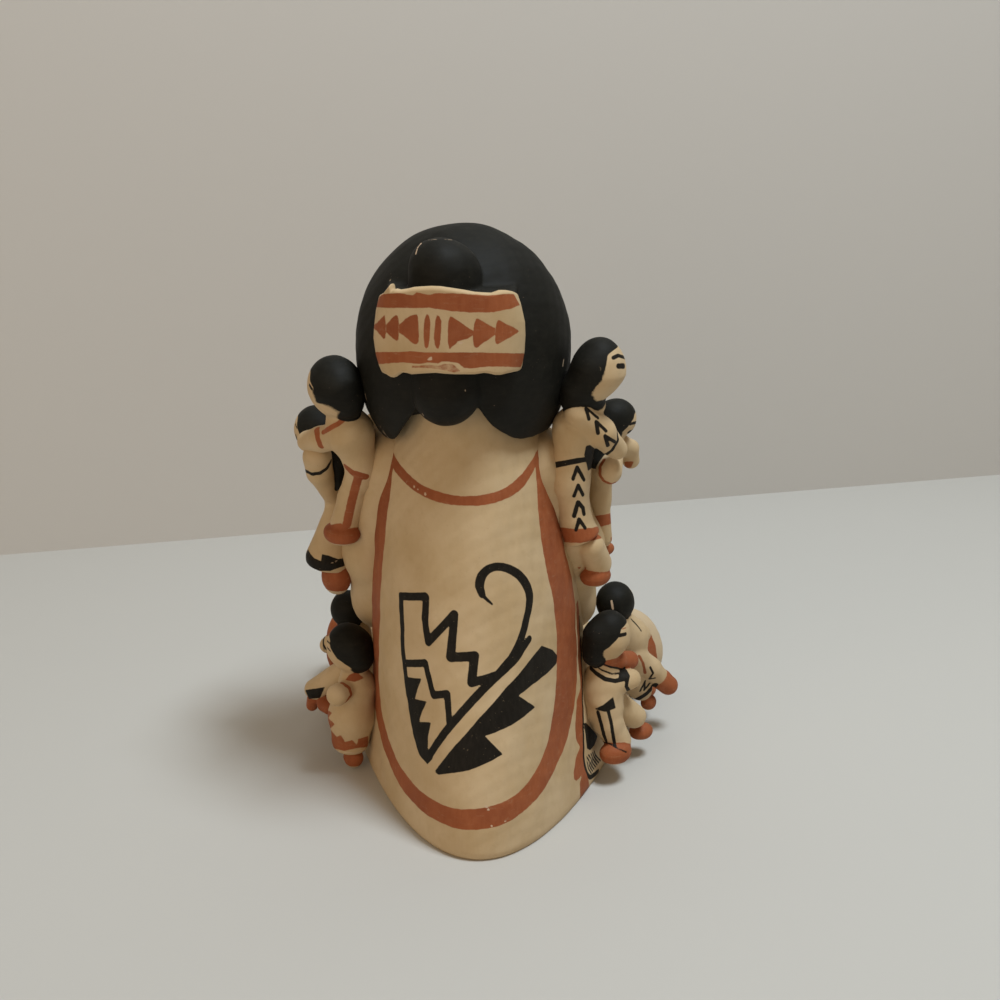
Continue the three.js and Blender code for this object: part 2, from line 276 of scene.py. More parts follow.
CREAM, CREAM_PALE = (0.515, 0.372, 0.205, 1), (0.59, 0.445, 0.27, 1)
CREAM_STREAK, CREAM_STAIN, FLECK = (0.61, 0.49, 0.32, 1), (0.43, 0.30, 0.155, 1), (0.27, 0.18, 0.10, 1)
RUST, RUST_PALE = (0.310, 0.088, 0.031, 1), (0.345, 0.104, 0.038, 1)
RUST_DARK, RUST_WORN = (0.240, 0.066, 0.026, 1), (0.380, 0.135, 0.058, 1)
INK, INK_PALE = (0.009, 0.0070, 0.0045, 1), (0.015, 0.0118, 0.0080, 1)
HAIR, HAIR_PALE = (0.0068, 0.0065, 0.0045, 1), (0.0100, 0.0096, 0.0070, 1)
HAIR_WORN, HAIR_CHIP = (0.018, 0.017, 0.012, 1), (0.16, 0.11, 0.08, 1)
PALE, BARE_CLAY_AND_HIGHLIGHT = (0.58, 0.45, 0.29, 1), (0.60, 0.45, 0.31, 1)
# How soft a layer's edge is, and how far it wanders, in millimetres.
EDGES = {
    "rust": (0.12, 0.45), "pale": (0.10, 0.3), "line": (0.10, 0.26), "hair": (0.12, 0.45),
    "bare_and_highlight": (0.08, 0.3),
}
FRAY = 0.16  # how far the grain frays every edge
ROUGH, ROUGHER = 0.56, 0.16  # the least, and what the mottling adds
SPECULAR = 0.18
BUMP_STRENGTH, BUMP_DISTANCE = 0.35, 0.0004


def slip_material(name):
    """Cream slip with the rust, pale, line, hair and bare layers brushed over it."""
    material = bpy.data.materials.new(name)
    material.use_nodes = True
    tree = material.node_tree
    tree.nodes.clear()

    def node(kind, **values):
        made = tree.nodes.new(kind)
        for key, value in values.items():
            setattr(made, key, value)
        return made

    def put(socket, value):
        if isinstance(value, bpy.types.NodeSocket):
            tree.links.new(value, socket)
        else:
            socket.default_value = value

    def maths(operation, *values):
        made = node("ShaderNodeMath", operation=operation)
        for socket, value in zip(made.inputs, values):
            put(socket, value)
        return made.outputs[0]

    def noise(scale, detail=2.0, stretch=(1, 1, 1), rough=0.5, lean=(0, 0, 0)):
        """Noise by the millimetre, finer with a larger scale."""
        mapping = node("ShaderNodeMapping")
        put(mapping.inputs["Vector"], where)
        put(mapping.inputs["Scale"], [s / MM for s in stretch])
        put(mapping.inputs["Rotation"], lean)
        made = node("ShaderNodeTexNoise", noise_dimensions="3D")
        put(made.inputs["Vector"], mapping.outputs[0])
        put(made.inputs["Scale"], scale)
        put(made.inputs["Detail"], detail)
        put(made.inputs["Roughness"], rough)
        return made.outputs[0]

    def ramp(value, low, high, most=1.0):
        """Nothing at low, and the most at high."""
        made = node("ShaderNodeMapRange")
        for socket, number in zip(made.inputs, (value, low, high, 0.0, most)):
            put(socket, number)
        return made.outputs[0]

    def mix(factor, a, b):
        made = node("ShaderNodeMix", data_type="RGBA")
        put(made.inputs[0], factor)
        put(made.inputs[6], a)
        put(made.inputs[7], b)
        return made.outputs[2]

    def layer(key):
        """How much of a layer's slip is there, from its distance, with a wandering, frayed edge."""
        softness, wander = EDGES[key]
        read = node("ShaderNodeAttribute", attribute_name=key)
        distance = maths("ADD", read.outputs["Fac"], maths("MULTIPLY_ADD", shake, wander, -wander / 2))
        distance = maths("ADD", distance, maths("MULTIPLY_ADD", grain, FRAY, -FRAY / 2))
        return ramp(distance, softness, -softness)

    def rubbed(mask, rub):
        return maths("MULTIPLY", mask, maths("SUBTRACT", 1.0, rub))

    where = node("ShaderNodeTexCoord").outputs["Object"]
    patchy = noise(0.055, 3.0)
    mottle = noise(0.30, 4.0, rough=0.6)
    streak = noise(0.9, 3.0, stretch=(1, 1, 0.14))
    cross = noise(0.9, 3.0, stretch=(0.16, 0.4, 1), lean=(0.2, 0.35, 0.1))
    shake = noise(0.55, 3.0)
    grain = noise(5.0)
    specks = noise(1.5)

    cream = mix(ramp(patchy, 0.35, 0.65), CREAM, CREAM_PALE)
    cream = mix(ramp(streak, 0.4, 0.75, 0.10), cream, CREAM_STREAK)
    cream = mix(ramp(mottle, 0.52, 0.78, 0.28), cream, CREAM_STAIN)
    cream = mix(ramp(specks, 0.70, 0.78, 0.30), cream, FLECK)

    rust_mask = layer("rust")
    rust = mix(ramp(streak, 0.35, 0.7), RUST, RUST_PALE)
    rust = mix(ramp(patchy, 0.42, 0.62, 0.55), rust, RUST_DARK)
    rust = mix(ramp(mottle, 0.45, 0.7, 0.35), rust, RUST_WORN)
    thin = maths("MULTIPLY", ramp(cross, 0.58, 0.85, 0.30), ramp(specks, 0.35, 0.6))
    colour = mix(rubbed(rust_mask, thin), cream, rust)
    colour = mix(layer("pale"), colour, PALE)

    line_mask = layer("line")
    ink = mix(ramp(streak, 0.4, 0.7), INK, INK_PALE)
    worn = maths("MULTIPLY", ramp(specks, 0.68, 0.76, 0.35), ramp(cross, 0.45, 0.6))
    colour = mix(rubbed(line_mask, worn), colour, ink)

    hair_mask = layer("hair")
    hair = mix(ramp(cross, 0.35, 0.7), HAIR, HAIR_PALE)
    hair = mix(ramp(mottle, 0.5, 0.75, 0.5), hair, HAIR_WORN)
    chip = maths("MULTIPLY", ramp(specks, 0.745, 0.77), ramp(patchy, 0.45, 0.5))
    colour = mix(hair_mask, colour, mix(chip, hair, HAIR_CHIP))
    # Clay showing through nicks and chips, and painted highlights and glints in the clay's colour.
    colour = mix(layer("bare_and_highlight"), colour, BARE_CLAY_AND_HIGHLIGHT)

    shader = node("ShaderNodeBsdfPrincipled")
    put(shader.inputs["Base Color"], colour)
    put(shader.inputs["Roughness"], maths("MULTIPLY_ADD", mottle, ROUGHER, ROUGH))
    put(shader.inputs["Specular IOR Level"], SPECULAR)

    slips = maths("MAXIMUM", maths("MAXIMUM", rust_mask, line_mask), hair_mask)
    height = maths("MULTIPLY", grain, 0.25)
    for part, share in ((mottle, 0.6), (streak, 0.18), (slips, 0.12)):
        height = maths("ADD", height, maths("MULTIPLY", part, share))
    bump = node("ShaderNodeBump")
    put(bump.inputs["Height"], height)
    put(bump.inputs["Strength"], BUMP_STRENGTH)
    put(bump.inputs["Distance"], BUMP_DISTANCE)
    put(shader.inputs["Normal"], bump.outputs[0])
    put(node("ShaderNodeOutputMaterial").inputs[0], shader.outputs[0])
    return material


slip = slip_material("slip_painted_clay")


# Robed body

# Height, middle, half width, how far back and belly reach, and the back's taper, level by level.
BODY = np.array([
    (0, 1.7, 45, 69, 27, 2.0), (2.5, 1.7, 46, 71, 29, 2.0), (14, 2.2, 43.8, 70, 31, 1.9),
    (34, 3.5, 40, 65, 31, 1.6), (58, 5, 37.8, 58, 29, 1.3), (84, 5.8, 36.2, 51.5, 26, 1.15),
    (108, 7.8, 32.2, 46, 22, 1.05), (123, 7.4, 28.6, 41.5, 18, 1.0), (134, 7, 24, 38.8, 10, 1.0),
    (150, 7.5, 21, 38.2, 5, 1.0),
])
BODY_Y = 6.0  # where a level's front and back halves meet
BODY_TOP = 150
BASE_MIDDLE = 1.7  # where the body's middle stands on the table
EASE, EASE_REACH, GRID = 3.2, 16, 0.5  # how far levels are eased, the steps that takes, and a step
# The back has a dense grid, for its fine ornament, and the front a coarser one.
REAR = 98  # degrees to either side of straight back
REAR_COLUMNS, FRONT_COLUMNS = 282, 52
BASE_ROWS, ROWS_FROM, ROW = [0.0, 0.6, 1.2, 2.0, 3.0], 3.7, 0.54  # heights, then even steps
TUCK, TUCK_HEIGHT = 0.02, 3  # the share by which the base's edge is drawn in, and how far up
ROBE_WAVES, WAVES_FROM = 0.2, 6  # how wavy the robe is, and the height from which it fully is
POLES = ((BASE_MIDDLE, 10), (7, 10))  # where the bottom and the top are closed


def level(z):
    """The body's measures at heights z, eased between the levels."""
    fine = np.arange(-20, BODY_TOP + 20, GRID)
    weights = np.exp(-0.5 * (np.arange(-EASE_REACH, EASE_REACH + 1) * GRID / EASE) ** 2)
    columns = []
    for k in range(1, 6):
        raw = np.interp(fine, BODY[1:, 0], BODY[1:, k])
        eased = np.convolve(np.pad(raw, EASE_REACH, mode="edge"), weights / weights.sum(), "valid")
        columns.append(np.interp(z, fine, eased))
    return columns


def body_point(angle, z):
    middle, half, back, belly, taper = level(z)
    cosine = np.cos(angle)
    rear = (back - BODY_Y) * np.maximum(cosine, 0) ** taper
    front = (belly + BODY_Y) * np.minimum(cosine, 0)
    return middle + half * np.sin(angle), BODY_Y + rear + front


def robe():
    """The body's points and faces, and where each point lies on the robe as it is spread out flat."""
    rear = np.radians(np.linspace(-REAR, REAR, REAR_COLUMNS))
    front = np.radians(np.linspace(REAR, 360 - REAR, FRONT_COLUMNS)[1:-1])
    angles = np.concatenate([rear, front])
    rise = np.concatenate([BASE_ROWS, np.arange(ROWS_FROM, BODY_TOP, ROW)])
    a, z = np.meshgrid(angles, rise)
    x, y = body_point(a, z)
    tuck = 1 - TUCK * np.clip(1 - z / TUCK_HEIGHT, 0, 1) ** 2
    x, y = BASE_MIDDLE + (x - BASE_MIDDLE) * tuck, BODY_Y + (y - BODY_Y) * tuck
    steps = np.hypot(np.diff(x, axis=1, prepend=x[:, :1]), np.diff(y, axis=1, prepend=y[:, :1]))
    along = np.cumsum(steps, axis=1)
    along -= along[:, [len(rear) // 2]]
    points = np.stack([x, y, z], -1).reshape(-1, 3)
    away = np.stack([np.sin(a), np.cos(a), np.zeros_like(a)], -1).reshape(-1, 3)
    waves = uneven(points, ROBE_WAVES) * np.clip(points[:, 2] / WAVES_FROM, 0, 1)
    points = points - away * waves[:, None]
    flat = np.stack([along, z], -1).reshape(-1, 2)
    columns, rows = len(angles), len(rise)
    i, j = np.meshgrid(np.arange(columns), np.arange(rows - 1))
    after = (i + 1) % columns
    corners = [j * columns + i, (j + 1) * columns + i, (j + 1) * columns + after, j * columns + after]
    faces = np.stack(corners, -1).reshape(-1, 4).tolist()
    # One more point closes the bottom, and one the top.
    bottom, last, top = len(points), (rows - 1) * columns, len(points) + 1
    points = np.vstack([points, [*POLES[0], 0], [*POLES[1], points[-1, 2]]])
    flat = np.vstack([flat, [FAR, -FAR], [FAR, BODY_TOP + 50]])
    for i in range(columns):
        after = (i + 1) % columns
        faces += [(bottom, i, after), (top, last + after, last + i)]
    return points, faces, flat


# The back's ornament, as (distance along the surface from its middle, height), and a brush's radius.
BAND_INNER = [
    (29.4, 122), (30.2, 112), (33.4, 101), (37.3, 90), (41.1, 79), (45.1, 67), (49.8, 54.5), (54.2, 43),
    (55, 35), (52, 29.2), (46.8, 24.9), (40.6, 21.8), (33.1, 19.7), (25.5, 18.6), (13, 18.1), (1.6, 18.8),
    (-8.5, 19.8), (-18.3, 22), (-27.3, 27.2), (-33.4, 34.4), (-37.3, 45.5), (-38.3, 57), (-37.3, 69.2),
    (-34.8, 79.4), (-32.2, 89), (-30.9, 99.4), (-30.2, 110), (-29.4, 123),
]
BAND_OUTER = [
    (36, 126.8), (44, 122.6), (50.8, 114), (52.5, 106), (52.6, 98), (53, 90), (54.6, 81), (58.5, 69),
    (65, 55), (70.8, 44), (72.6, 37), (71.3, 30.6), (66.8, 25.8), (59.2, 20.6), (52, 17), (44.8, 14.5),
    (37.6, 12.8), (29.2, 11.9), (20.9, 11.5), (7.3, 11.5), (-3.6, 12.2), (-12.7, 13.2), (-24.4, 15.8),
    (-36.4, 21), (-46.1, 27.4), (-54.2, 36), (-57.2, 45), (-57.6, 56), (-56.6, 66.8), (-53.6, 75),
    (-49.8, 82.5), (-47.2, 90), (-45.7, 98), (-44.6, 104), (-43.2, 111), (-42.6, 119), (-42.2, 124),
    (-38.8, 128),
]
NECK_UPPER = [
    (-38.8, 128), (-30.6, 127), (-25.9, 124.9), (-20.6, 121.9), (-16.3, 120.1), (-12.6, 119.1),
    (-5.8, 118.4), (0.6, 118.3), (5.5, 118.8), (10.9, 119.8), (15.7, 121), (20.6, 122.5), (28, 125),
    (36, 126.8),
]
NECK_LOWER = [
    (-29.4, 123), (-25.5, 120.4), (-21.5, 118), (-17.2, 116.5), (-12.7, 115.7), (-7.6, 115.3),
    (-1.2, 115.3), (5.4, 115.7), (10.7, 116.5), (16.8, 118), (21.2, 119.2), (24.8, 120.4), (29.4, 122),
]
# The motif's brush lines and filled shapes. The feathers stand along a straight spine.
POST = [(25.3, 82, 1.3), (26.2, 67, 1.2), (25.8, 56, 1.35), (25.4, 49, 1.4)]
STEPS = [
    (25.3, 82.2, 1.25), (13.7, 85.2, 1.3), (14.6, 77.4, 1.4), (13.8, 70.2, 1.3), (3.8, 81, 1.3),
    (5.5, 67, 1.55), (-2.4, 68, 1.5), (-1.3, 59.4, 1.5), (-11, 61.6, 1.1),
]
INNER_STEPS = [(25.7, 59.8, 1.2), (15.1, 63.2, 1.2), (12.6, 53.4, 1.2), (7.1, 55.2, 1.2), (6.9, 46, 1.1)]
STEM = [
    (17.2, 31.4, 1.2), (6.5, 45.2, 1.25), (-3.1, 55.4, 1.4), (-10.1, 61, 1.6), (-16.6, 65.6, 2.1),
    (-22.4, 69.6, 1.25),
]
CURL = [
    (-14.6, 64.6, 1.52), (-18.2, 69.4, 1.57), (-21, 75.6, 1.57), (-22.7, 81.6, 1.67), (-22.2, 86.4, 1.62),
    (-19.5, 90.8, 1.47), (-15.5, 94, 1.37), (-11.5, 95.5, 1.32), (-8.2, 95.2, 1.42), (-5.9, 93.2, 1.52),
    (-4.9, 90.2, 1.47), (-5.5, 87.4, 1.17),
]
CURL_TIP = [(-5.7, 87.2, 0.6), (-7, 85.6, 0.5), (-8.7, 83.9, 0.35)]
FLAGS = [
    (26.8, 57), (26.1, 47.4), (24.4, 36.4), (21.6, 31), (17.6, 29.4), (14.8, 32.2), (16.9, 34.8),
    (16.2, 39.2), (14.6, 43.9), (20.6, 42), (18.6, 46), (15.9, 50.2), (21.8, 49.2), (20, 53),
    (17.4, 57.3), (24.6, 55.4),
]
SPINE = [(-28.8, 65.1), (-22.4, 62.1), (-13.4, 56.5), (-3.4, 48), (5.8, 38.1), (13.8, 28.2)]
FEATHERS = [
    (12.6, 27.9), (7, 30.1), (1, 31.8), (-10.2, 35.6), (-4.3, 42.4), (-14.4, 44.2), (-24.7, 46.4),
    (-17, 52.7), (-22.8, 54), (-30, 55.2), (-38, 56.2), (-38.7, 58), (-34.9, 61.6),
]
# On the right, beyond the band: a feathered edge, then a black-edged panel with a blade in it.
FEATHERED = [
    (-58.9, 68), (-58.9, 50), (-60.4, 38), (-55.9, 35), (-53.6, 28.5), (-53.3, 23.2), (-56, 19.2),
    (-52, 16.4), (-49.6, 13), (-49.2, 11), (-51, 9.2), (-55.7, 9), (-53.8, 7), (-53.2, 0), (-62, 0),
    (-61, 6), (-59.2, 12), (-60, 20), (-62.3, 32.8), (-62.8, 40), (-63, 68),
]
PANEL_EDGE = [
    (-63.2, 62, 0.4), (-62.6, 40, 0.6), (-62, 32.8, 0.6), (-59.6, 20, 0.7), (-58.9, 13, 0.7),
    (-60, 8.4, 0.7), (-63, 4.4, 0.9), (-71, 2.4, 1),
]
PANEL_BLADE = [
    (-61.4, 25), (-63.3, 24.4), (-69.1, 19.6), (-74.4, 14.2), (-69.6, 13.2), (-65, 13.6), (-62.4, 15.6),
]
# The front's bands: a yoke that bows about its middle, and a belt with a line to each side.
YOKE, YOKE_HALF, YOKE_BOW = 117, 1.5, 0.013
YOKE_MIDDLE, YOKE_REACH = 6.5, 27
BELT, BELT_HALF, BELT_LINE, BELT_LINE_HALF = 79, 3.2, 4.9, 0.5
FRONT_Y = 5  # the front's paint lies before this
# Nicks in the band and the neckline, down to the clay.
NICKS = [
    (-3.9, 19.6, 0.5), (-4.6, 18.4, 0.45), (-5.4, 12.9, 0.4), (-10.3, 13.6, 0.45), (20.9, 119.6, 0.3),
    (16.9, 119.2, 0.4), (15.2, 118.7, 0.3), (12.2, 117.8, 0.5), (36, 121.5, 0.45), (30.4, 104, 0.25),
]


def motif(p):
    """A stepped cloud, a curled plume and feathers: traditional forms in one running brush line."""
    lines = [POST, STEPS, INNER_STEPS, curve(STEM), curve(CURL), curve(CURL_TIP)]
    d = np.min([stroke(p, line) for line in lines], axis=0)
    for shape, swell in ((FLAGS, 0.15), (SPINE + FEATHERS, 0.25)):
        np.minimum(d, polygon(p, shape) - swell, out=d)
    return d


def robe_layers(points, flat):
    x, y, z = points.T
    inner = polygon(flat, np.vstack([curve(BAND_INNER, 4), curve(NECK_LOWER, 3)]))
    outer = polygon(flat, np.vstack([curve(BAND_OUTER, 4), curve(NECK_UPPER, 3)]))
    rust = np.maximum(outer, -inner)
    line = motif(flat)
    rust = np.minimum(rust, polygon(flat, FEATHERED))
    line = np.minimum(line, stroke(flat, curve(PANEL_EDGE)))
    line = np.minimum(line, polygon(flat, PANEL_BLADE))
    for k in range(1, 8):
        fine = [(-60.6 - k * 1.25, 13.2 - k * 0.3, 0.34), (-60.3 - k * 1.4, 9.2, 0.36),
                (-62.6 - k * 1.6, 5.2, 0.36)]
        line = np.minimum(line, stroke(flat, curve(fine)))
    # The front has a yoke edge like the back's, and a belt above the lap.
    front = np.where(y < FRONT_Y, 0, FAR)
    yoke = np.abs(z - YOKE - YOKE_BOW * (x - YOKE_MIDDLE) ** 2) - YOKE_HALF
    rust = np.minimum(rust, np.maximum(yoke, np.abs(x - YOKE_MIDDLE) - YOKE_REACH) + front)
    belt = np.abs(z - BELT)
    rust = np.minimum(rust, belt - BELT_HALF + front)
    line = np.minimum(line, np.abs(belt - BELT_LINE) - BELT_LINE_HALF + front)
    bare_and_highlight = np.min([np.hypot(flat[:, 0] - a, flat[:, 1] - b) - r for a, b, r in NICKS], axis=0)
    return {"rust": rust, "line": line, "bare_and_highlight": bare_and_highlight}


# Head, knot and tie

FACE_X = 8.6  # the face's middle line
HEAD, HAIR_RADII, HAIR_FULLNESS = vec(FACE_X, 11, 159.7), vec(35.6, 34, 40.3), 2.4
FACE, FACE_RADII, CHIN = vec(FACE_X, 9, 160), vec(33.6, 32, 38.8), 29.5
NOSE = (vec(FACE_X, -22, 167), vec(FACE_X, -24.0, 159), 2.0, 3.4)
LIPS, LIPS_RADII = vec(FACE_X, -20.5, 147.5), vec(7.2, 4.0, 6.4)
MOUTH, MOUTH_RADII = vec(FACE_X, -24, 147.5), vec(4.6, 7.0, 3.8)
LIPS_RUST, MOUTH_INK = vec(7.0, 6.0, 6.2), vec(4.9, 8.0, 4.1)  # the radii that their paint fills
MOUTH_Y, CHEEK_Y, EYES_Y = -10, -4, -2  # the paint of each lies before these
# A closed eye's lid and its brow, as (x from its middle, z), and where eyes and cheeks are.
LID = [(-5.2, 166.8), (-2.8, 164.9), (0, 164.2), (2.8, 164.9), (5.2, 166.8)]
BROW = [(-6, 172.6), (-3, 174.6), (0, 175.2), (3, 174.6), (6, 172.6)]
EYE_ASIDE, CHEEK_ASIDE, CHEEK_Z, CHEEK_RADIUS = 12.0, 17.5, 153.0, 3.1
HAIR_END, HAIR_THIN = 131.0, 0.3  # where it ends, and the share of its depth before its middle
# The painted hair's edges: the fringe, bowed over the brow, the sides by the ears, and the lowest.
FRINGE, FRINGE_BOW = 183.5, 0.006
EARS_Y, EARS_Z, EARS_LEAN = 3.0, 165, 0.06
PAINTED_HAIR_END = 134
KNOT = (vec(12.1, 36.3, 187.6), vec(11.9, 41.5, 152.6), 10.7, 11.0)
KNOT_TOP = (vec(14.6, 37, 190.3), vec(14.6, 38, 183), 8.4, 8.4)
BUNDLE_Z, BUNDLE_HALF = 174.0, 10.2
TIE = {"middle": 10.5, "half": 22.6, "low": 161.6, "high": 186.6, "back": 55.5, "end": 41.5}
TIE_HANDLES = (0.6, 0.7)  # how far aside and back the bow's handles are
BUNDLE_IN, BUNDLE_BACK = 2.6, 3.0  # how far inside the tie the hair is, at its ends and its back
# The hair's lower edge at the nape, as (x, z).
NAPE_EDGE = [
    (-40, 127.5), (-24, 131.8), (-19, 132.9), (-14, 133.3), (-9.5, 134.4), (-5.5, 137.6), (-2.4, 140.6),
    (0.2, 144.2), (2.6, 147.6), (12, 158), (21.2, 146.4), (24.2, 142.4), (27, 138), (29.4, 133.6),
    (32, 131.2), (40, 128),
]
# Chips in the hair's black, down to the clay, and painted highlights on the knot's top rim and on a ridge
# by the tie: paths and widths in pixels.
CHIPS_AND_HIGHLIGHTS = [
    ([(416, 254), (418, 247), (424, 241)], 1.9), ([(428, 240), (437, 239.5)], 0.9),
    ([(445, 239.5), (452, 240)], 1.1), ([(564, 358), (562.5, 366)], 1.6),
    ([(465, 390), (465.5, 391)], 1.4), ([(422, 413), (424, 416)], 1.2), ([(392, 276), (388, 285)], 1),
    ([(365, 393), (367, 401)], 1.4), ([(380, 426), (384.5, 433), (389, 438)], 1.1),
]


def hair_form(p):
    """Round above, fuller and longer below, and thin towards the face."""
    q = (p - HEAD) / HAIR_RADII
    q[:, 1] = np.where(q[:, 1] < 0, q[:, 1] / HAIR_THIN, q[:, 1])
    across = np.hypot(q[:, 0], q[:, 1])
    lower = (across ** HAIR_FULLNESS + np.abs(q[:, 2]) ** HAIR_FULLNESS) ** (1 / HAIR_FULLNESS)
    reach = np.maximum(np.where(q[:, 2] < 0, lower, np.hypot(across, q[:, 2])), 1e-6)
    return np.linalg.norm(p - HEAD, axis=1) * (1 - 1 / reach) * 0.9


def face_form(p):
    """Egg-shaped, with the chin nearer to the middle than the crown."""
    q = p - FACE
    q[:, 2] *= np.where(q[:, 2] < 0, FACE_RADII[2] / CHIN, 1.0)
    return ball(q, 0.0, FACE_RADII)


def tie_line(x):
    """How far back the tie's outer face stands at x."""
    t = np.linspace(0, 1, 60)
    half, end, back = TIE["half"], TIE["end"], TIE["back"]
    aside, behind = TIE_HANDLES
    bow = end + (back - end) * behind
    bx = 3 * t * (1 - t) ** 2 * half * aside + 3 * t ** 2 * (1 - t) * half + t ** 3 * half
    by = (1 - t) ** 3 * back + 3 * t * (1 - t) ** 2 * back + 3 * t ** 2 * (1 - t) * bow + t ** 3 * end
    return np.interp(np.abs(x - TIE["middle"]), bx, by)


def bundle(p):
    """The hair that the tie holds, a little inside it all round."""
    x, y, z = p.T
    side = np.abs(x - TIE["middle"]) - TIE["half"] + BUNDLE_IN
    rear = (y - tie_line(x) + BUNDLE_BACK) * 0.85
    round_it = smooth_cut(side, rear, 2.0)
    return np.maximum(smooth_cut(round_it, np.abs(z - BUNDLE_Z) - BUNDLE_HALF, 1.5), 20 - y)


def below_hair(p):
    """Negative where the hair has ended at the nape."""
    x, y, z = p.T
    edge = curve(NAPE_EDGE, 4)
    return np.maximum((z - np.interp(x, edge[:, 0], edge[:, 1])) * 0.75, 12 - y)


def head_form(p):
    hair = smooth_cut(hair_form(p), HAIR_END - p[:, 2], 1.6)
    hair = smooth_cut(hair, -below_hair(p), 1.4)
    d = np.minimum(hair, face_form(p))
    d = smooth(d, smooth(cone(p, *KNOT), cone(p, *KNOT_TOP), 2.5), 0.7)
    d = smooth(d, bundle(p), 1.0)
    d = smooth(d, cone(p, *NOSE), 3.5)
    d = smooth(d, ball(p, LIPS, LIPS_RADII), 2.0)
    d = smooth_cut(d, -ball(p, MOUTH, MOUTH_RADII), 0.8)
    return d + uneven(p, 0.12, 2.0)


def head_layers(p):
    x, y, z = p.T
    # Hair covers the crown and all behind a line through the ears, and a fringe hangs to the brow.
    fringe = FRINGE - z + FRINGE_BOW * (x - FACE_X) ** 2
    sides = EARS_Y - y + EARS_LEAN * (EARS_Z - z)
    hair = np.minimum(sides, fringe)
    hair = np.maximum(hair, PAINTED_HAIR_END - z - np.where(y > 0, 30, 0))
    # Eyes, brows, mouth and cheeks.
    face = p[:, [0, 2]]
    line = np.full(len(p), FAR)
    rust = np.where(y < MOUTH_Y, ball(p, MOUTH - vec(0, 0.5, 0), LIPS_RUST), FAR)
    for side in (-1, 1):
        eye = FACE_X + side * EYE_ASIDE
        for shape, radius in ((LID, 0.62), (BROW, 0.75)):
            line = np.minimum(line, stroke(face, [(eye + a, b) for a, b in shape], radius))
        cheek = np.hypot(x - FACE_X - side * CHEEK_ASIDE, z - CHEEK_Z) - CHEEK_RADIUS
        rust = np.minimum(rust, cheek + np.where(y < CHEEK_Y, 0, FAR))
    line = line + np.where(y < EYES_Y, 0, FAR)
    line = np.minimum(line, np.where(y < MOUTH_Y, ball(p, MOUTH, MOUTH_INK) + 0.6, FAR))
    # chips down to the clay, and painted highlights on the knot's top and by the tie
    bare_and_highlight = np.min([brushed(p, head_form, path, width) for path, width in CHIPS_AND_HIGHLIGHTS], axis=0)
    return {"hair": hair, "line": line, "rust": rust, "bare_and_highlight": np.minimum(bare_and_highlight, FAR)}


# The tie's rims, ends and paint are given as they show in the picture, in pixels.
TIE_TOP = [
    (372, 294.5), (379, 293), (383, 288.5), (387, 284), (388.4, 290.5), (392, 289.4), (397, 290.5),
    (405, 289.5), (412, 288), (420, 287.5), (430, 287), (440, 287.3), (448, 288.5), (455, 289.5),
    (465, 291), (475, 292.8), (485, 293.5), (495, 293.8), (500, 292.5), (505, 291), (515, 290.8),
    (521, 291.5), (527, 293),
]
TIE_LOW = [
    (372, 372), (382, 375), (386, 377.5), (390, 378), (394, 376), (400, 373), (405, 373.5), (410, 375),
    (425, 374), (435, 373.5), (445, 374.5), (455, 375), (475, 375), (485, 373.5), (490, 374),
    (497, 375.5), (503, 375.5), (510, 374), (520, 372), (527, 370.5),
]
TIE_ENDS = [
    [(384, 288), (380, 293), (376, 310), (374, 328), (373.5, 338), (376, 355), (379, 365), (383, 374),
     (386, 378)],
    [(516, 288), (517, 292), (521, 304), (525, 322), (525.5, 335), (524.5, 352), (522, 366),
     (520, 371.5), (517, 377)],
]
TIE_STRIPES = [
    [(368, 295), (390, 293.5), (400, 293), (407, 294.5), (413, 295), (417, 292.5), (425, 294),
     (430, 295), (436, 293), (455, 293.5), (475, 294.5), (485, 295.5), (495, 295), (505, 294),
     (530, 293.5), (530, 302), (520, 305), (510, 309), (500, 311), (490, 312.5), (470, 312.5),
     (450, 311), (440, 309.5), (430, 308), (390, 308), (368, 307)],
    [(368, 352), (400, 352), (410, 351.2), (425, 352.5), (470, 352.5), (530, 353.5), (530, 368),
     (510, 367), (490, 366.5), (470, 368.5), (464, 368), (458, 363), (447, 361.5), (442, 361.5),
     (438, 363.5), (430, 362.5), (418, 364), (411, 363), (400, 362.5), (382, 364), (368, 363)],
]
TIE_SHAPES = [
    [(372, 327), (377, 322.5), (383, 316.5), (384.5, 315), (385.5, 320), (386, 333), (385, 338),
     (383.5, 339), (381, 336), (377, 331)],
    [(386, 325), (393, 317), (396, 315), (397.5, 315.5), (398.5, 319), (399, 335), (398.5, 339),
     (397, 341), (393, 338.5), (388, 334), (386, 332)],
    [(399, 325), (405, 319), (410, 316), (415, 314.5), (417, 314.5), (418, 317), (419, 335),
     (418.5, 341), (417, 344), (415, 344.5), (412, 343), (407, 338.5), (403, 335), (399, 333)],
    [(427, 314), (429, 316), (430.5, 322), (429.5, 340), (428, 347), (426, 348.5), (424.5, 346),
     (423.5, 338), (423.5, 330), (424.5, 320)],
    [(437, 315), (439.5, 316.5), (441.5, 321), (440.5, 338), (440, 344), (438.5, 348.5), (436.5, 348.5),
     (435, 345), (434, 338), (435, 322)],
    [(450, 316), (452, 316.5), (458, 320.5), (465, 325.5), (470, 329), (473, 330.5), (473, 335),
     (468, 338.5), (458, 341.5), (456, 344), (452, 347), (450, 349), (449, 348.5), (448, 343),
     (448, 330), (448.5, 321)],
    [(476, 318.5), (478, 318.5), (490, 325.5), (495, 328), (495, 335), (489, 339.5), (483, 343),
     (478, 347.5), (476, 348), (474, 346.5), (473, 342), (473, 333), (474, 325)],
    [(498, 320), (500, 320), (506, 324), (512, 326.5), (517, 329.5), (519, 331.5), (516, 334),
     (508, 338.5), (502, 342), (498, 344), (496, 343.5), (495, 340), (495.5, 330), (496.5, 323)],
]
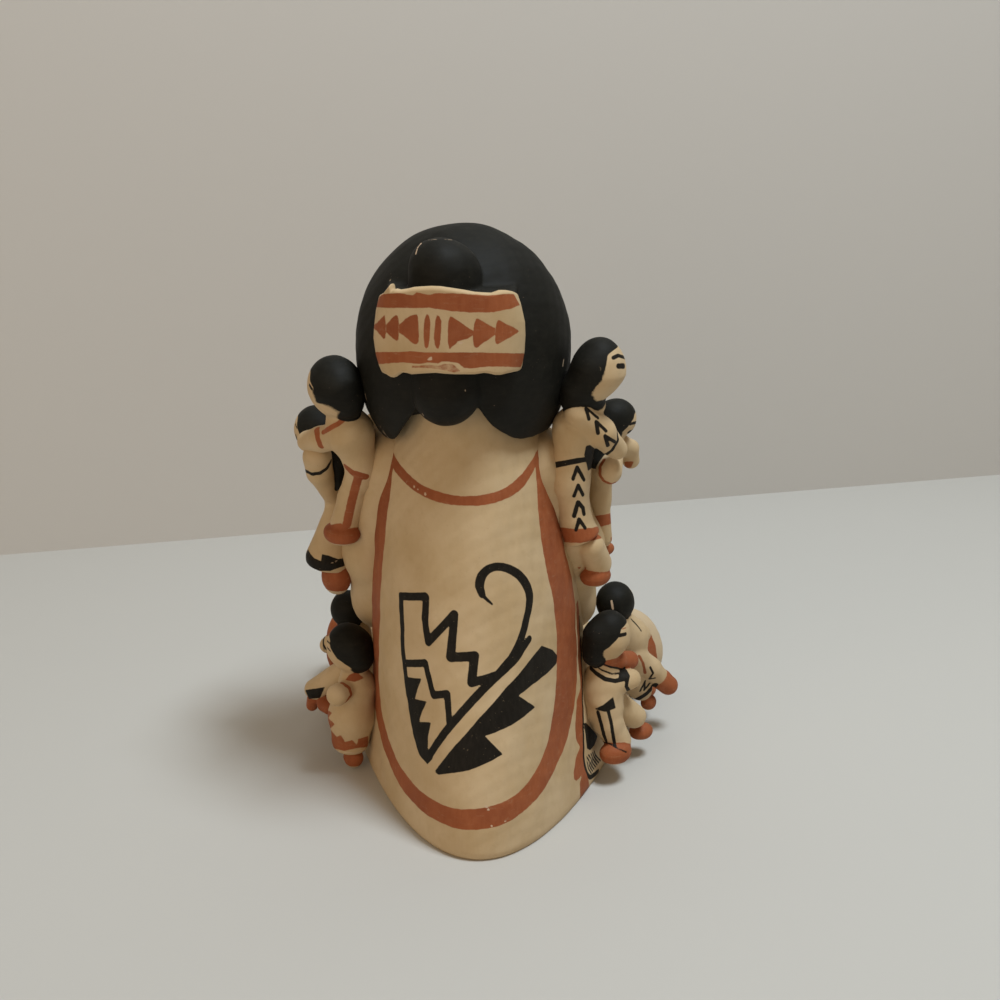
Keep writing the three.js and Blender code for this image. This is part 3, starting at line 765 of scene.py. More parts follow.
TIE_SMEAR = [
    (412, 366), (430, 365), (438, 366), (445, 364), (452, 364), (455, 366), (460, 371), (455, 372.5),
    (440, 369.5), (430, 368), (412, 367.5),
]
TIE_NICKS = [
    [(427, 360), (430, 357), (432, 356.5), (432, 360), (429, 360.5)],
    [(458, 342), (464, 342), (461, 344.5), (459, 344)],
]
TIE_THICK, TIE_COLUMNS, TIE_ROWS, TIE_INNER_ROWS = 2.7, 230, 120, 14
TIE_REACH = 0.9985  # the share of its half width that the columns span
SMEAR_PROUD = -0.04  # the smear's least distance, which keeps it thin


def height_at(x, y, v):
    """How high the points over (x, y) are that show on picture row v."""
    k = (MIDDLE - v) / FOCAL
    r = np.stack([x - EYE[0], y - EYE[1], np.full(len(x), -EYE[2])], 1)
    return (r @ UPWARD - k * (r @ AHEAD)) / (k * AHEAD[2] - UPWARD[2])


def rim(x, y, line, guess):
    """The heights that bring the points over (x, y) onto a line in the picture."""
    z = np.full(len(x), guess)
    line = np.array(line, float)
    for _ in range(3):
        u = pictured(np.stack([x, y, z], 1))[:, 0]
        z = height_at(x, y, np.interp(u, line[:, 0], line[:, 1]))
    return z


def make_tie():
    """A strap of clay, bowed round the hair, with rounded edges, bulging ends and uneven rims."""
    lean = np.sin(np.linspace(-math.pi / 2, math.pi / 2, TIE_COLUMNS))
    x = TIE["middle"] + lean * TIE["half"] * TIE_REACH
    y = tie_line(x)
    way = np.stack([np.gradient(x), np.gradient(y)], 1)
    way /= np.linalg.norm(way, axis=1)[:, None]
    out = np.stack([-way[:, 1], way[:, 0]], 1)
    out[out[:, 1] < 0] *= -1
    # The section runs up the outer face, over the rim, down the inner face and under.
    section = [(0.0, s) for s in np.linspace(0.035, 0.965, TIE_ROWS)]
    section += [(-0.22, 0.985), (-0.8, 1.0), (-TIE_THICK + 0.8, 1.0), (-TIE_THICK + 0.22, 0.985)]
    section += [(-TIE_THICK, s) for s in np.linspace(0.96, 0.04, TIE_INNER_ROWS)]
    section += [(-TIE_THICK + 0.22, 0.015), (-TIE_THICK + 0.8, 0.0), (-0.8, 0.0), (-0.22, 0.015)]
    across = (x - TIE["middle"]) / TIE["half"]
    high, low = rim(x, y, TIE_TOP, TIE["high"]), rim(x, y, TIE_LOW, TIE["low"])
    points = []
    for off, s in section:
        z = low + (high - low) * s
        shift = np.zeros(TIE_COLUMNS)
        for index, side, edge in ((-1, 1, TIE_ENDS[0]), (0, -1, TIE_ENDS[1])):
            u, v = pictured(np.array([[x[index], y[index], z[index]]]))[0]
            edge = np.array(edge)
            miss = (u - np.interp(v, edge[:, 1], edge[:, 0])) / TIE_PER_MM
            shift += np.where(across * side > 0, miss * np.abs(across) ** 3, 0)
        points.append(np.stack([x + shift + out[:, 0] * off, y + out[:, 1] * off, z], 1))
    rings = len(section)
    index = np.arange(rings * TIE_COLUMNS).reshape(rings, TIE_COLUMNS)
    after = np.roll(index, -1, axis=0)
    quads = np.stack([index[:, :-1], index[:, 1:], after[:, 1:], after[:, :-1]], -1).reshape(-1, 4)
    faces = quads.tolist() + [index[:, 0].tolist(), index[::-1, -1].tolist()]
    return np.concatenate(points), faces


def tie_layers(p):
    """Two stripes and a row of arrowheads about two bars, with a smear below."""
    flat = pictured(p)

    def painted(shapes):
        return np.min([polygon(flat, shape) for shape in shapes], axis=0) / TIE_PER_MM

    inner = tie_line(p[:, 0]) - 1.6 - 0.6 * np.abs(p[:, 0] - TIE["middle"]) / 22
    outside = np.where(p[:, 1] > inner, 0, FAR)
    rust = np.minimum(painted(TIE_STRIPES + TIE_SHAPES), np.maximum(painted([TIE_SMEAR]), SMEAR_PROUD))
    return {"rust": rust + outside, "bare_and_highlight": painted(TIE_NICKS) + outside}


# The large figure's limbs

# By side: the left is 1 and the right -1. An arm has joints from the shoulder on, and their radii.
ARMS = {
    1: ([(30, 11, 118), (40, 4, 84), (39, -4, 62), (31, -30, 55), (19, -44, 60)], [14, 12, 11.5, 10, 8]),
    -1: ([(-16, 11, 118), (-28.2, 4, 86), (-27, -4, 61), (-24, -30, 55), (-15, -44, 60)],
         [14, 11.2, 10, 9.5, 8]),
}
FEET = {1: vec(57.5, -57.5, 15.5), -1: vec(-55.5, -58, 14.2)}
FOOT_RADII = {1: vec(14.5, 9.5, 20.5), -1: vec(13.9, 9.5, 18.6)}
FOOT_TURN = 22
LAP, LAP_RADII = vec(1, -22, 30), vec(33, 27, 22)
LEG_RADII = [22, 17, 13.5]
# A cuff's band and its two lines are (place along the arm from the wrist, half width).
WRIST, HANDS_Y = 5, -20  # how far before the hand's end it is, and what its paint lies before
CUFF, CUFF_LINES = (-2.4, 1.9), ((0.4, 0.5), (-5.4, 0.45))
# A moccasin's paint, from the sole on: where the rust and the pale sole end, and the ankle's rings.
SHOE_TO, SOLE_TO, RINGS, RING_HALF = 10.5, -3.0, (12.4, 15.4), 0.5
LEGS_ASIDE = 25  # how far out the legs' paint begins
# What shows of the right moccasin's rust, in pixels; round it, its rim is pale.
FOOT_RUST = [
    (590, 642), (646, 640), (651, 634), (655.5, 645), (657.5, 660), (656, 678), (655, 700), (650, 722),
    (640, 745), (625, 765), (590, 765),
]


def arm_form(side):
    joints, radii = ARMS[side]
    return lambda p: chain(p, [vec(*joint) for joint in joints], radii, 5.0) + uneven(p, 0.16, side)


def arm_layers(p, side):
    hand, before = vec(*ARMS[side][0][-1]), vec(*ARMS[side][0][-2])
    way = unit(hand - before)
    wrist = hand - way * WRIST
    t = (p - wrist) @ way
    near = np.where(p[:, 1] < HANDS_Y, 0, FAR)
    rust, *lines = (np.abs(t - place) - half + near for place, half in (CUFF, *CUFF_LINES))
    return {"rust": rust, "line": np.min(lines, axis=0)}


def turned(degrees):
    a = math.radians(degrees)
    return np.array([[math.cos(a), -math.sin(a), 0], [math.sin(a), math.cos(a), 0], [0, 0, 1]])


def foot_axes(side):
    return turned(side * FOOT_TURN)


def foot_ball(p, side):
    return ball(p, FEET[side], FOOT_RADII[side], foot_axes(side))


def legs_form(p):
    d = ball(p, LAP, LAP_RADII)
    for side in (-1, 1):
        joints = [vec(2 + side * 22, 2, 22), vec(side * 40, -36, 18), vec(side * 52, -54, 15)]
        d = smooth(d, chain(p, joints, LEG_RADII, 4.0), 5.0)
        d = smooth(d, foot_ball(p, side), 3.0)
    d = smooth_cut(d, -p[:, 2], 1.0)
    return d + uneven(p, 0.16, 4.0) * np.clip(p[:, 2] / 5, 0, 1)


def legs_layers(p):
    rust, pale, line = (np.full(len(p), FAR) for _ in range(3))
    for side in (-1, 1):
        q = (p - FEET[side]) @ foot_axes(side)
        near = np.where(p[:, 0] * side > LEGS_ASIDE, 0, FAR)
        rust = np.minimum(rust, q[:, 1] - SHOE_TO + near)
        pale = np.minimum(pale, q[:, 1] - SOLE_TO + near)
        for ring in RINGS:
            line = np.minimum(line, np.abs(q[:, 1] - ring) - RING_HALF + near)
        if side < 0:  # the pale rim rises on the outer side, where it shows
            rise = np.clip(-103 - 2 * p[:, 0], SOLE_TO, 8)
            outside = -polygon(pictured(p), FOOT_RUST) / FOOT_PER_MM
            pale = np.minimum(pale, np.maximum(outside, q[:, 1] - rise) + near)
    return {"rust": rust, "pale": pale, "line": line}


# The children

# A child's joints are (u, v, y, radius): where a joint shows in the picture, and its depth.
# Those on the lap, which don't show in it, are (x, y, z, radius). A foot has three radii and its turn.
# size is the head's radii, look and nod its turn and tilt in degrees, jaw how far the chin leans back,
# brow where the hairline is, near the cheek that shows in the picture, where strokes paint the face,
# and cut where the hem ends. band (a hem's, from and to) and cuffs finish what the picture hides.
CHILDREN = {
    "left_shoulder": dict(
        head=(335.5, 387, 22), size=(8.9, 9.2, 10.6), look=80, nod=10, jaw=0.1, brow=(0.32, 0.8), near=1,
        mane=[(338, 388, 24, 8), (348, 404, 24, 5.2)],
        trunk=[(340, 410, 21, 4.8), (350, 432, 20, 7.6), (361, 462, 18, 5.2), (360, 478, 17, 4.8)],
        limbs=[[(346, 434, 21, 5.4), (322, 439, 15, 4.3), (308, 441, 9, 3.7)],
               [(358, 430, 14, 5), (370, 440, 6, 4.6), (376, 424, 2, 4.4)],
               [(359, 472, 17, 4.6), (352, 497, 15, 4.7), (345, 524, 14, 5)],
               [(362, 475, 12, 5), (360, 505, 8, 4.6), (358, 520, 6, 4.4)]],
        feet=[(342, 533, 15, 5.4, 6.9, 4, 64), (356, 524, 7, 4.5, 6, 4, 64)],
    ),
    "left_elbow": dict(
        head=(318, 430, -4), size=(8.1, 8.3, 8.9), look=72, nod=8, jaw=0.1, brow=(0.34, 0.5), near=1,
        cut=3.6,
        mane=[(326, 432, -2, 6), (338, 462, 4, 3.6), (339, 487, 6, 1.2)],
        trunk=[(319, 448, -1, 4.2), (324, 468, 2, 4.8), (337, 504, 1, 3.2), (329, 556, 2, 8.3)],
        limbs=[[(317, 456.5, 10, 5), (320, 472, 8, 4.5), (331, 494, 3, 3.3)],
               [(330, 458, -9, 4.4), (343, 470, -10, 4.1), (362, 467, -9, 4.1)]],
        feet=[(336.5, 576, 3, 5, 5.8, 6.9, 55)],
    ),
    "right_shoulder": dict(
        head=(598.5, 372, 22), size=(8.7, 8.9, 11.4), look=-95, nod=4, jaw=0.35, brow=(0.16, 0.3),
        near=-1, cut=1.6,
        mane=[(592, 370, 24, 7), (580, 390, 23, 6), (577, 397, 22, 5.4), (590, 397.5, 22, 4.8)],
        trunk=[(592, 404, 21, 4.6), (576, 428, 20, 7.2), (570, 480, 19, 6.1), (576, 522, 18, 5.2),
               (581, 534, 18, 6.4)],
        limbs=[[(580, 414, 25, 5), (600, 432, 22, 5), (617, 449, 16, 3.6)],
               [(585, 424, 8, 5.2), (575, 428, 2, 5), (578, 422, -2, 4.8)],
               [(590.5, 546, 17, 4.8), (597.5, 563, 12, 5)], [(573, 542, 17, 4), (574, 560, 13, 3.8)]],
        feet=[(595.5, 575.5, 13.5, 4.6, 5.7, 3.8, -62), (574, 566, 8, 3.6, 4.6, 3, -62)],
    ),
    "right_elbow": dict(
        head=(616, 419, -1), size=(6.6, 6.9, 7.3), look=-85, nod=22, jaw=0.1, brow=(0.5, 0.4), near=-1,
        mane=[(611, 418, 0, 5.8), (602, 440, 5, 4.4), (595, 459, 8, 3.4)],
        trunk=[(613, 436, 0, 4), (603.5, 466, 1, 4.3), (598.5, 497, 1, 3.8), (602.5, 538, 0, 3.3)],
        limbs=[[(612, 455, 6, 4), (609, 471, 12, 4.5)],
               [(622, 446, -4, 4), (630, 448, -6, 3), (631, 460, -8, 3.1)]],
        feet=[(604, 549, -3, 3, 4.2, 2.6, -50)],
    ),
    "right_hip": dict(
        head=(607.5, 637, 14), size=(7.6, 8, 10), look=-100, nod=10, jaw=0.2, brow=(0.2, 0.8), near=-1,
        mane=[(598, 636, 16, 5.6), (594, 655, 17, 4.2)],
        trunk=[(603, 660, 14, 4.6), (603, 686, 14, 7), (604, 706, 15, 7.2)],
        limbs=[[(608, 684, 16, 4.8), (630, 679, 13, 3.8)],
               [(602, 700, 17, 5.8), (608, 722, 17, 5.4), (617.5, 740, 16, 4.9)],
               [(612, 702, 10, 5.4), (634, 716, 6, 4.6)]],
        rust=[[(607, 658, 16, 3), (616, 660, 12, 3.2), (629, 660, 6, 3.4)]],
        feet=[(615.5, 752, 20, 4.8, 6.2, 4.4, -58), (641, 731, 2, 3.9, 4.8, 3.1, -58)],
    ),
    "right_knee": dict(
        head=(615, 602, -12), size=(7.2, 7.4, 7.7), look=-30, nod=0, brow=(0.4, 0.2),
        trunk=[(618, 616, -12, 4.4), (629, 635, -14, 6.6), (630, 660, -14, 7)],
        limbs=[[(634, 656, -11, 4.8), (650, 668, -14, 4.1), (661, 679, -17, 3.8)],
               [(612, 628, -20, 4.2), (622, 632, -24, 4), (641, 634, -26, 3.8)],
               [(620, 662, -12, 5.8), (640, 688, -16, 4.8)],
               [(616, 660, -20, 5.6), (640, 678, -24, 4.8)]],
        rust=[[(662, 680, -17, 4), (668, 685, -18, 3.8)]],
        feet=[(648.5, 702, -16, 2.8, 3.2, 3.2, -50), (645, 690, -26, 3.6, 5, 3.4, -50)],
    ),
    "left_hip": dict(
        head=(350, 648, 14), size=(7.9, 8.3, 9.4), look=76, nod=14, jaw=0.15, brow=(0.22, 0.7), near=1,
        cut=3.3,
        mane=[(354, 648, 16, 7), (360, 659, 17, 4.6)],
        trunk=[(353, 668, 14, 4.4), (357, 686, 14, 6.4), (352, 714, 15, 8.1), (350.5, 738, 14, 7)],
        limbs=[[(348, 689, 19, 3.4), (337.5, 695, 24, 3.9)], [(346, 669, 6, 4.2), (315, 689, 1, 4)]],
        rust=[[(314, 698, -1, 2.6), (312, 705, -3, 2.2)], [(326, 703, 2, 3.5), (330, 706, 4, 3.3)]],
        feet=[(353.5, 757, 15, 3.3, 3.9, 4, 62)],
    ),
    "left_knee": dict(
        head=(348, 609, -10), size=(6.5, 6.8, 7.2), look=40, nod=0, brow=(0.4, 0.2), cut=4,
        band=(-4.5, 0.5), cuffs=True,
        trunk=[(350, 620, -10, 3.6), (353, 632, -12, 6.2), (358, 655, -13, 6.8), (347, 676, -18, 6.6)],
        limbs=[[(342, 632, -9, 3.6), (332, 643, -12, 3.3), (328, 645, -13, 3.2)],
               [(360, 626, -20, 3.8), (350, 630, -24, 3.6)]],
        feet=[(335, 695, -17, 4, 5.4, 3.4, 48), (338, 686, -24, 4, 5.4, 3.4, 48)],
    ),
    "lap_left": dict(
        lap=True, head=(17, -33, 89), size=(8.9, 9.2, 9.8), look=14, nod=4, jaw=0.1, brow=(0.45, 0.3),
        cuffs=True,
        trunk=[(16.5, -32.5, 82, 4.8), (16.1, -32.4, 74.8, 7.6), (15, -31, 62, 8)],
        limbs=[[(21.4, -30.9, 74.5, 5.1), (26.4, -35.2, 69.9, 4.8), (26, -43, 72, 4.8)],
               [(10.8, -33.9, 75.1, 5.1), (5.8, -38.3, 70.6, 4.8), (7, -46, 72, 4.8)],
               [(18.8, -29.9, 61.8, 6.6), (19.9, -41.5, 55.9, 6.1), (21, -53, 50, 5.2)],
               [(11.2, -32.1, 62.2, 6.6), (11.6, -43.5, 55.1, 6.1), (12, -55, 48, 5.2)]],
        feet=[(21.5, -54.8, 50, 5.3, 7.4, 4.6, 16), (12.5, -56.8, 48, 5.3, 7.4, 4.6, 16)],
    ),
    "lap_right": dict(
        lap=True, head=(-14, -32, 87), size=(9.4, 9.7, 10.3), look=-16, nod=4, jaw=0.1, brow=(0.45, 0.3),
        cut=4, band=(-5, 0), cuffs=True,
        trunk=[(-13.7, -31.7, 79.6, 5), (-13.6, -31.9, 72, 8), (-13, -31, 60, 8.6), (-14, -46, 50, 8)],
        limbs=[[(-7.9, -33.3, 72.2, 5.4), (-2.9, -38.2, 67.8, 5), (-4, -46, 70, 5)],
               [(-19.2, -30.5, 71.8, 5.4), (-24.5, -34.6, 66.6, 5), (-24, -43, 68, 5)]],
        feet=[(-11.5, -55.9, 45, 5.6, 7.8, 4.8, -14), (-19.5, -54.9, 45, 5.6, 7.8, 4.8, -14)],
    ),
}

# Marks that show in the picture: strokes by their width and their path, in pixels, and
# patches by their depth and their corners. What hides from it is painted by the rules in Child.layers.
STROKES = {
    "left_shoulder": {
        "line": [(3.4, [(309.5, 385), (312, 389)])],
        "rust": [(5.5, [(348, 416), (338, 424), (323, 432)]),
                 (7.5, [(317, 429), (318, 438), (321, 446)]), (8, [(346, 467), (353, 473), (366, 477)]),
                 (9.5, [(358, 478), (352, 500), (347, 524)])],
    },
    "left_elbow": {
        "line": [(4.5, [(305, 470), (312, 474), (320, 473), (327, 468), (331, 461)]),
                 (2, [(295.5, 424), (297, 428)]), (3, [(295.8, 435), (297, 440)])],
        "bare_and_highlight": [(1.6, [(331, 563), (337, 561)])],
    },
    "right_shoulder": {
        "line": [(4.2, [(613, 358), (618, 355.5), (624, 357.5)]), (5.6, [(618, 366), (624, 366)]),
                 (4, [(586, 409), (589, 419)]), (3.2, [(586, 408), (592, 413), (598, 418)]),
                 (4.3, [(596, 422), (598, 433)]), (3.6, [(597, 422), (606, 431)]),
                 (4.3, [(605, 436), (608, 446)]), (3.8, [(605, 436), (615, 442)]),
                 (4.2, [(617, 431), (618, 440), (612, 450), (604, 456)]),
                 (6.4, [(555, 465), (570, 462), (586, 459)]), (4, [(577, 467), (573, 479)]),
                 (4, [(577, 467), (584, 480)]), (4, [(578, 485), (574, 496)]),
                 (4, [(578, 485), (583, 495)]), (4.8, [(578, 502), (574, 516)]),
                 (4.6, [(578, 502), (583, 508), (584, 514)]), (4, [(579, 519), (576, 530)]),
                 (4, [(579, 519), (585, 528)])],
    },
    "right_elbow": {
        "line": [(3.6, [(630, 424), (636, 422.3)]), (5.5, [(629, 432), (633.5, 430.3)])],
        "rust": [(4.6, [(604, 460), (600, 467), (600, 475), (604, 481), (611, 484), (617, 482)]),
                 (3, [(611, 538), (611.5, 548)])],
    },
    "right_hip": {
        "line": [(4.4, [(619.5, 635.5), (625.5, 634)]),
                 (5, [(588, 665), (596, 673), (605, 679), (615, 681), (624, 679)]),
                 (2.2, [(592, 664), (602, 670), (612, 674), (622, 673)]),
                 (2.6, [(600, 663), (611, 667), (622, 669)]),
                 (4.5, [(624, 668), (628, 676), (626, 686), (630, 693), (636, 688)]),
                 (3.6, [(636, 688), (632, 698), (640, 692)]),
                 (4.4, [(598, 712), (601, 723), (604, 735), (606, 741)]),
                 (4, [(608, 710), (611, 722), (613, 735), (615, 746)]),
                 (2.2, [(601, 741), (610, 744), (618, 749), (626, 752)])],
        "rust": [(1.6, [(622.5, 629), (627, 627.5)])],
    },
    "right_knee": {
        "line": [(2, [(631, 619), (636, 624), (641, 631)]), (2, [(634, 612), (638, 616)]),
                 (2.8, [(650, 667), (653, 673), (649, 679), (655, 678)]),
                 (3, [(640, 691), (645, 681), (644, 690), (650, 683)]),
                 (6, [(637, 700), (647, 693), (656, 684)])],
        "rust": [(3.6, [(639, 656), (643, 663), (645, 673)])],
        # a painted highlight: a pale glint on the small head's hair
        "bare_and_highlight": [(2.4, [(611.5, 601), (613, 609)])],
    },
    "left_hip": {
        "line": [(1.8, [(326, 640), (329.5, 643), (333, 648)]), (1.8, [(327, 647), (331, 651.5)])],
        "rust": [(5, [(342, 683), (349, 688), (351, 695), (346, 702)])],
        "bare_and_highlight": [(1.8, [(344, 752), (355, 753), (366, 749)])],
    },
    "left_knee": {
        "line": [(1.6, [(325, 637), (323, 645), (325, 653)])],
    },
}
PATCHES = {
    "left_shoulder": {
        "rust": [(17,
                  [(323, 533), (330, 525), (341, 523), (350, 530), (361, 530), (358, 539), (350, 547),
                   (340, 545), (329, 541)])],
    },
    "left_elbow": {
        "line": [(2,
                  [(308, 549), (304, 557), (304, 566), (316, 571), (330, 571), (344, 566), (352, 560),
                   (349, 557), (338, 559), (330, 556), (322, 554), (321, 561), (314, 558), (310, 553)])],
    },
    "right_shoulder": {
        "line": [(18,
                  [(586, 446), (590, 445), (601, 453), (605, 457), (597, 464), (588, 471), (586, 462),
                   (584, 455)])],
        "rust": [(20,
                  [(558, 527), (575, 529), (590, 528), (606, 525), (606, 537), (595, 540), (580, 543),
                   (560, 542)]),
                 (8, [(577, 567), (586, 567), (586, 574), (582, 573)])],
    },
    "right_elbow": {
        "rust": [(0, [(590, 517), (612, 513), (613, 523), (601, 527), (590, 526)]),
                 (-6, [(624, 462), (634, 461), (631, 468), (625, 468)])],
    },
    "right_hip": {
        "line": [(18, [(613, 697), (616, 708), (605, 712), (594, 709), (603, 705)]),
                 (14, [(620, 668), (627, 670), (627, 680), (618, 680)])],
    },
    "left_hip": {
        "line": [(0, [(305, 690), (325, 687), (320, 698), (309, 699)])],
        "rust": [(24, [(345, 680), (350, 674), (357, 672), (364, 678), (355, 682)]),
                 (22,
                  [(322, 706), (332, 713), (328, 718), (335, 724), (330, 729), (337, 737), (341, 735),
                   (345, 742), (352, 740), (357, 745), (358, 739), (368, 736), (368, 747), (358, 748),
                   (345, 751), (335, 749), (326, 740), (321, 725)])],
    },
    "left_knee": {
        "rust": [(-12, [(325, 620), (345, 620), (334, 636), (326, 636)])],
    },
}
# A small face's lid and brow, as (azimuth, elevation) on the head.
SMALL_LID, SMALL_BROW = [(16, 3), (26, 1), (37, 3)], [(13, 19), (26, 22), (40, 18)]
FACE_FOR = 9  # the head's radius that the small faces' sizes are for
HAIR_PROUD, SHOE_PROUD, CLOTH_PROUD = 0.7, 0.45, 0.5  # how far past its form a paint reaches
SOLE = 0.62  # a shoe is pale from this share of its radius below its middle on
MOUTH_LOW, MOUTH_SIZE, MOUTH_EDGE = -34, 1.5, 0.8  # its elevation, its radius, and its rust edge
CUFF_BACK, CUFF_HALF = 2.2, 0.5  # how far before the arm's end it is, and its half width
# The hair's fringe, in shares of the head: where it starts, over how much it grows, and how far.
FRINGE_FROM, FRINGE_OVER, FRINGE_DOWN = 0.6, 0.3, 0.75
# How softly a trunk, what hangs and a limb bend, and how softly each part joins the rest.
TRUNK_BEND, MANE_BEND, LIMB_BEND = 3.0, 1.5, 1.4
MANE_JOIN, TRUNK_JOIN, LIMB_JOIN, FOOT_JOIN, NOSE_JOIN = 1.6, 1.0, 0.9, 0.6, 1.2


def tipped(degrees):
    a = math.radians(degrees)
    return np.array([[1, 0, 0], [0, math.cos(a), -math.sin(a)], [0, math.sin(a), math.cos(a)]])


class Child:
    """A small figure: its form and its paint."""

    def __init__(self, head, size, look, nod, brow, trunk, limbs, feet, cut=None, mane=(), rust=(),
                 jaw=0.0, near=0, lap=False, band=None, cuffs=False):
        place = vec if lap else seen_at

        def joined(spots):
            return [place(*spot[:3]) for spot in spots], [spot[3] for spot in spots]

        self.cut, self.jaw, self.brow, self.near = cut, jaw, brow, near
        self.band, self.cuffs, self.seed = band, cuffs, head[0]
        self.head, self.radii = place(*head), vec(*size)
        self.gaze = turned(look) @ tipped(nod)
        self.trunk, self.mane = joined(trunk), joined(mane) if mane else None
        self.limbs, self.rust = [joined(limb) for limb in limbs], [joined(limb) for limb in rust]
        self.feet = [(place(*foot[:3]), vec(*foot[3:6]), turned(foot[6])) for foot in feet]
        self.hem = self.trunk[0][-1]
        self.hem_way = unit(self.hem - self.trunk[0][-2])

    def head_point(self, azimuth, elevation):
        a, e = math.radians(azimuth), math.radians(elevation)
        local = vec(math.sin(a) * math.cos(e), -math.cos(a) * math.cos(e), math.sin(e)) * self.radii
        local[1] -= self.jaw * min(local[2], 0)
        return self.head + self.gaze @ local

    def in_head(self, p):
        """The head's own directions, its lower half leaning back from the face."""
        q = (p - self.head) @ self.gaze
        q[:, 1] += self.jaw * np.minimum(q[:, 2], 0)
        return q

    def skull(self, p):
        return ball(self.in_head(p), 0.0, self.radii)

    def hanging(self, p):
        return chain(p, *self.mane, MANE_BEND) if self.mane else np.full(len(p), FAR)

    def body(self, p):
        d = chain(p, *self.trunk, TRUNK_BEND)
        if self.cut is not None:
            d = smooth_cut(d, (p - self.hem) @ self.hem_way - self.cut, 0.8)
        return d

    def form(self, p):
        d = self.skull(p)
        if self.mane:
            d = smooth(d, self.hanging(p), MANE_JOIN)
        d = smooth(d, self.body(p), TRUNK_JOIN)
        for joints, radii in self.limbs + self.rust:
            d = smooth(d, chain(p, joints, radii, LIMB_BEND), LIMB_JOIN)
        for centre, radii, axes in self.feet:
            d = smooth(d, ball(p, centre, radii, axes), FOOT_JOIN)
        if not self.near:
            nose = cone(p, self.head_point(0, 4), self.head_point(0, -10), 0.5, 1.1)
            d = smooth(d, nose, NOSE_JOIN)
        d = smooth_cut(d, -p[:, 2], 0.6)
        return d + uneven(p, 0.1, self.seed)

    def box(self):
        lows, highs = [self.head - self.radii.max() * 1.2], [self.head + self.radii.max() * 1.2]
        for joints, radii in [self.trunk, *self.limbs, *self.rust] + ([self.mane] if self.mane else []):
            for joint, radius in zip(joints, radii):
                lows.append(joint - radius)
                highs.append(joint + radius)
        for centre, radii, _ in self.feet:
            lows.append(centre - radii.max())
            highs.append(centre + radii.max())
        return np.min(lows, 0) - 1, np.max(highs, 0) + 1

    def hairline(self, p):
        """Negative where there is hair: on the skull behind the brow, and on what hangs."""
        q = self.in_head(p) / self.radii
        forward, up = -q[:, 1], q[:, 2]
        fringe = np.clip((up - FRINGE_FROM) / FRINGE_OVER, 0, 1) ** 2 * FRINGE_DOWN
        hair = (forward - self.brow[0] - self.brow[1] * np.clip(up, -1, 0.4) - fringe) * self.radii[0]
        hair = np.where(self.skull(p) < 0.45, hair, FAR)
        return np.minimum(hair, self.hanging(p) - HAIR_PROUD)

    def layers(self, p, strokes, patches):
        k = self.radii[0] / FACE_FOR
        line, rust, pale, bare_and_highlight = (np.full(len(p), FAR) for _ in range(4))
        for side in (-1, 1):
            if side == self.near:
                continue
            for shape, radius in ((SMALL_LID, 0.70), (SMALL_BROW, 0.60)):
                path = [self.head_point(side * a, e) for a, e in shape]
                line = np.minimum(line, stroke(p, path, radius * k))
        mouth = np.linalg.norm(p - self.head_point(0, MOUTH_LOW), axis=1) - MOUTH_SIZE * k
        rust = np.minimum(rust, mouth)
        line = np.minimum(line, mouth + MOUTH_EDGE * k)
        for centre, radii, axes in self.feet:
            foot = ball(p, centre, radii, axes)
            up = ((p - centre) @ axes)[:, 2]
            rust = np.minimum(rust, foot - SHOE_PROUD)
            pale = np.minimum(pale, np.maximum(foot - CLOTH_PROUD, up + radii[2] * SOLE))
        for joints, radii in self.rust:
            rust = np.minimum(rust, chain(p, joints, radii, LIMB_BEND) - CLOTH_PROUD)
        if self.band:
            start, end = self.band
            t = (p - self.hem) @ self.hem_way
            on_it = np.where(self.body(p) < CLOTH_PROUD, 0, FAR)
            rust = np.minimum(rust, np.maximum(start - t, t - end) + on_it)
        if self.cuffs:
            for joints, radii in self.limbs[:2]:
                t = (p - joints[-1]) @ unit(joints[-1] - joints[-2])
                on_it = np.where(chain(p, joints, radii) < CLOTH_PROUD, 0, FAR)
                line = np.minimum(line, np.abs(t + CUFF_BACK * k) - CUFF_HALF + on_it)
        layers = {"line": line, "rust": rust, "pale": pale, "bare_and_highlight": bare_and_highlight}
        for key, marks in strokes.items():
            for width, path in marks:
                np.minimum(layers[key], brushed(p, self.form, path, width), out=layers[key])
        for key, marks in patches.items():
            for y, corners in marks:
                np.minimum(layers[key], patched(p, corners, y), out=layers[key])
        layers["hair"] = self.hairline(p)
        return layers


# Making the pieces

COARSER = 1.0
HEAD_BOX, HEAD_STEP = ((-29, -30, 124), (46, 55, 202)), 0.68
LEGS_BOX, LEGS_STEP = ((-73, -71, 0), (73, 27, 53)), 1.05
ARM_MARGIN, ARM_STEP, CHILD_STEP = 16, 0.95, 0.52

points, faces, flat = robe()
add_piece("robe", points, faces, robe_layers(points, flat))

points, faces = skin(head_form, *HEAD_BOX, HEAD_STEP * COARSER)
add_piece("head", points, faces, head_layers(points))

points, faces = make_tie()
add_piece("hair_tie", points, faces, tie_layers(points))

for side, name in ((1, "arm_left"), (-1, "arm_right")):
    joints = np.array(ARMS[side][0])
    low, high = joints.min(0) - ARM_MARGIN, joints.max(0) + ARM_MARGIN
    points, faces = skin(arm_form(side), low, high, ARM_STEP * COARSER)
    add_piece(name, points, faces, arm_layers(points, side))

points, faces = skin(legs_form, *LEGS_BOX, LEGS_STEP * COARSER)
add_piece("legs_and_lap", points, faces, legs_layers(points))

for name, spec in CHILDREN.items():
    child = Child(**spec)
    points, faces = skin(child.form, *child.box(), CHILD_STEP * COARSER)
    layers = child.layers(points, STROKES.get(name, {}), PATCHES.get(name, {}))
    add_piece("child_" + name, points, faces, layers)


# Room, light and camera

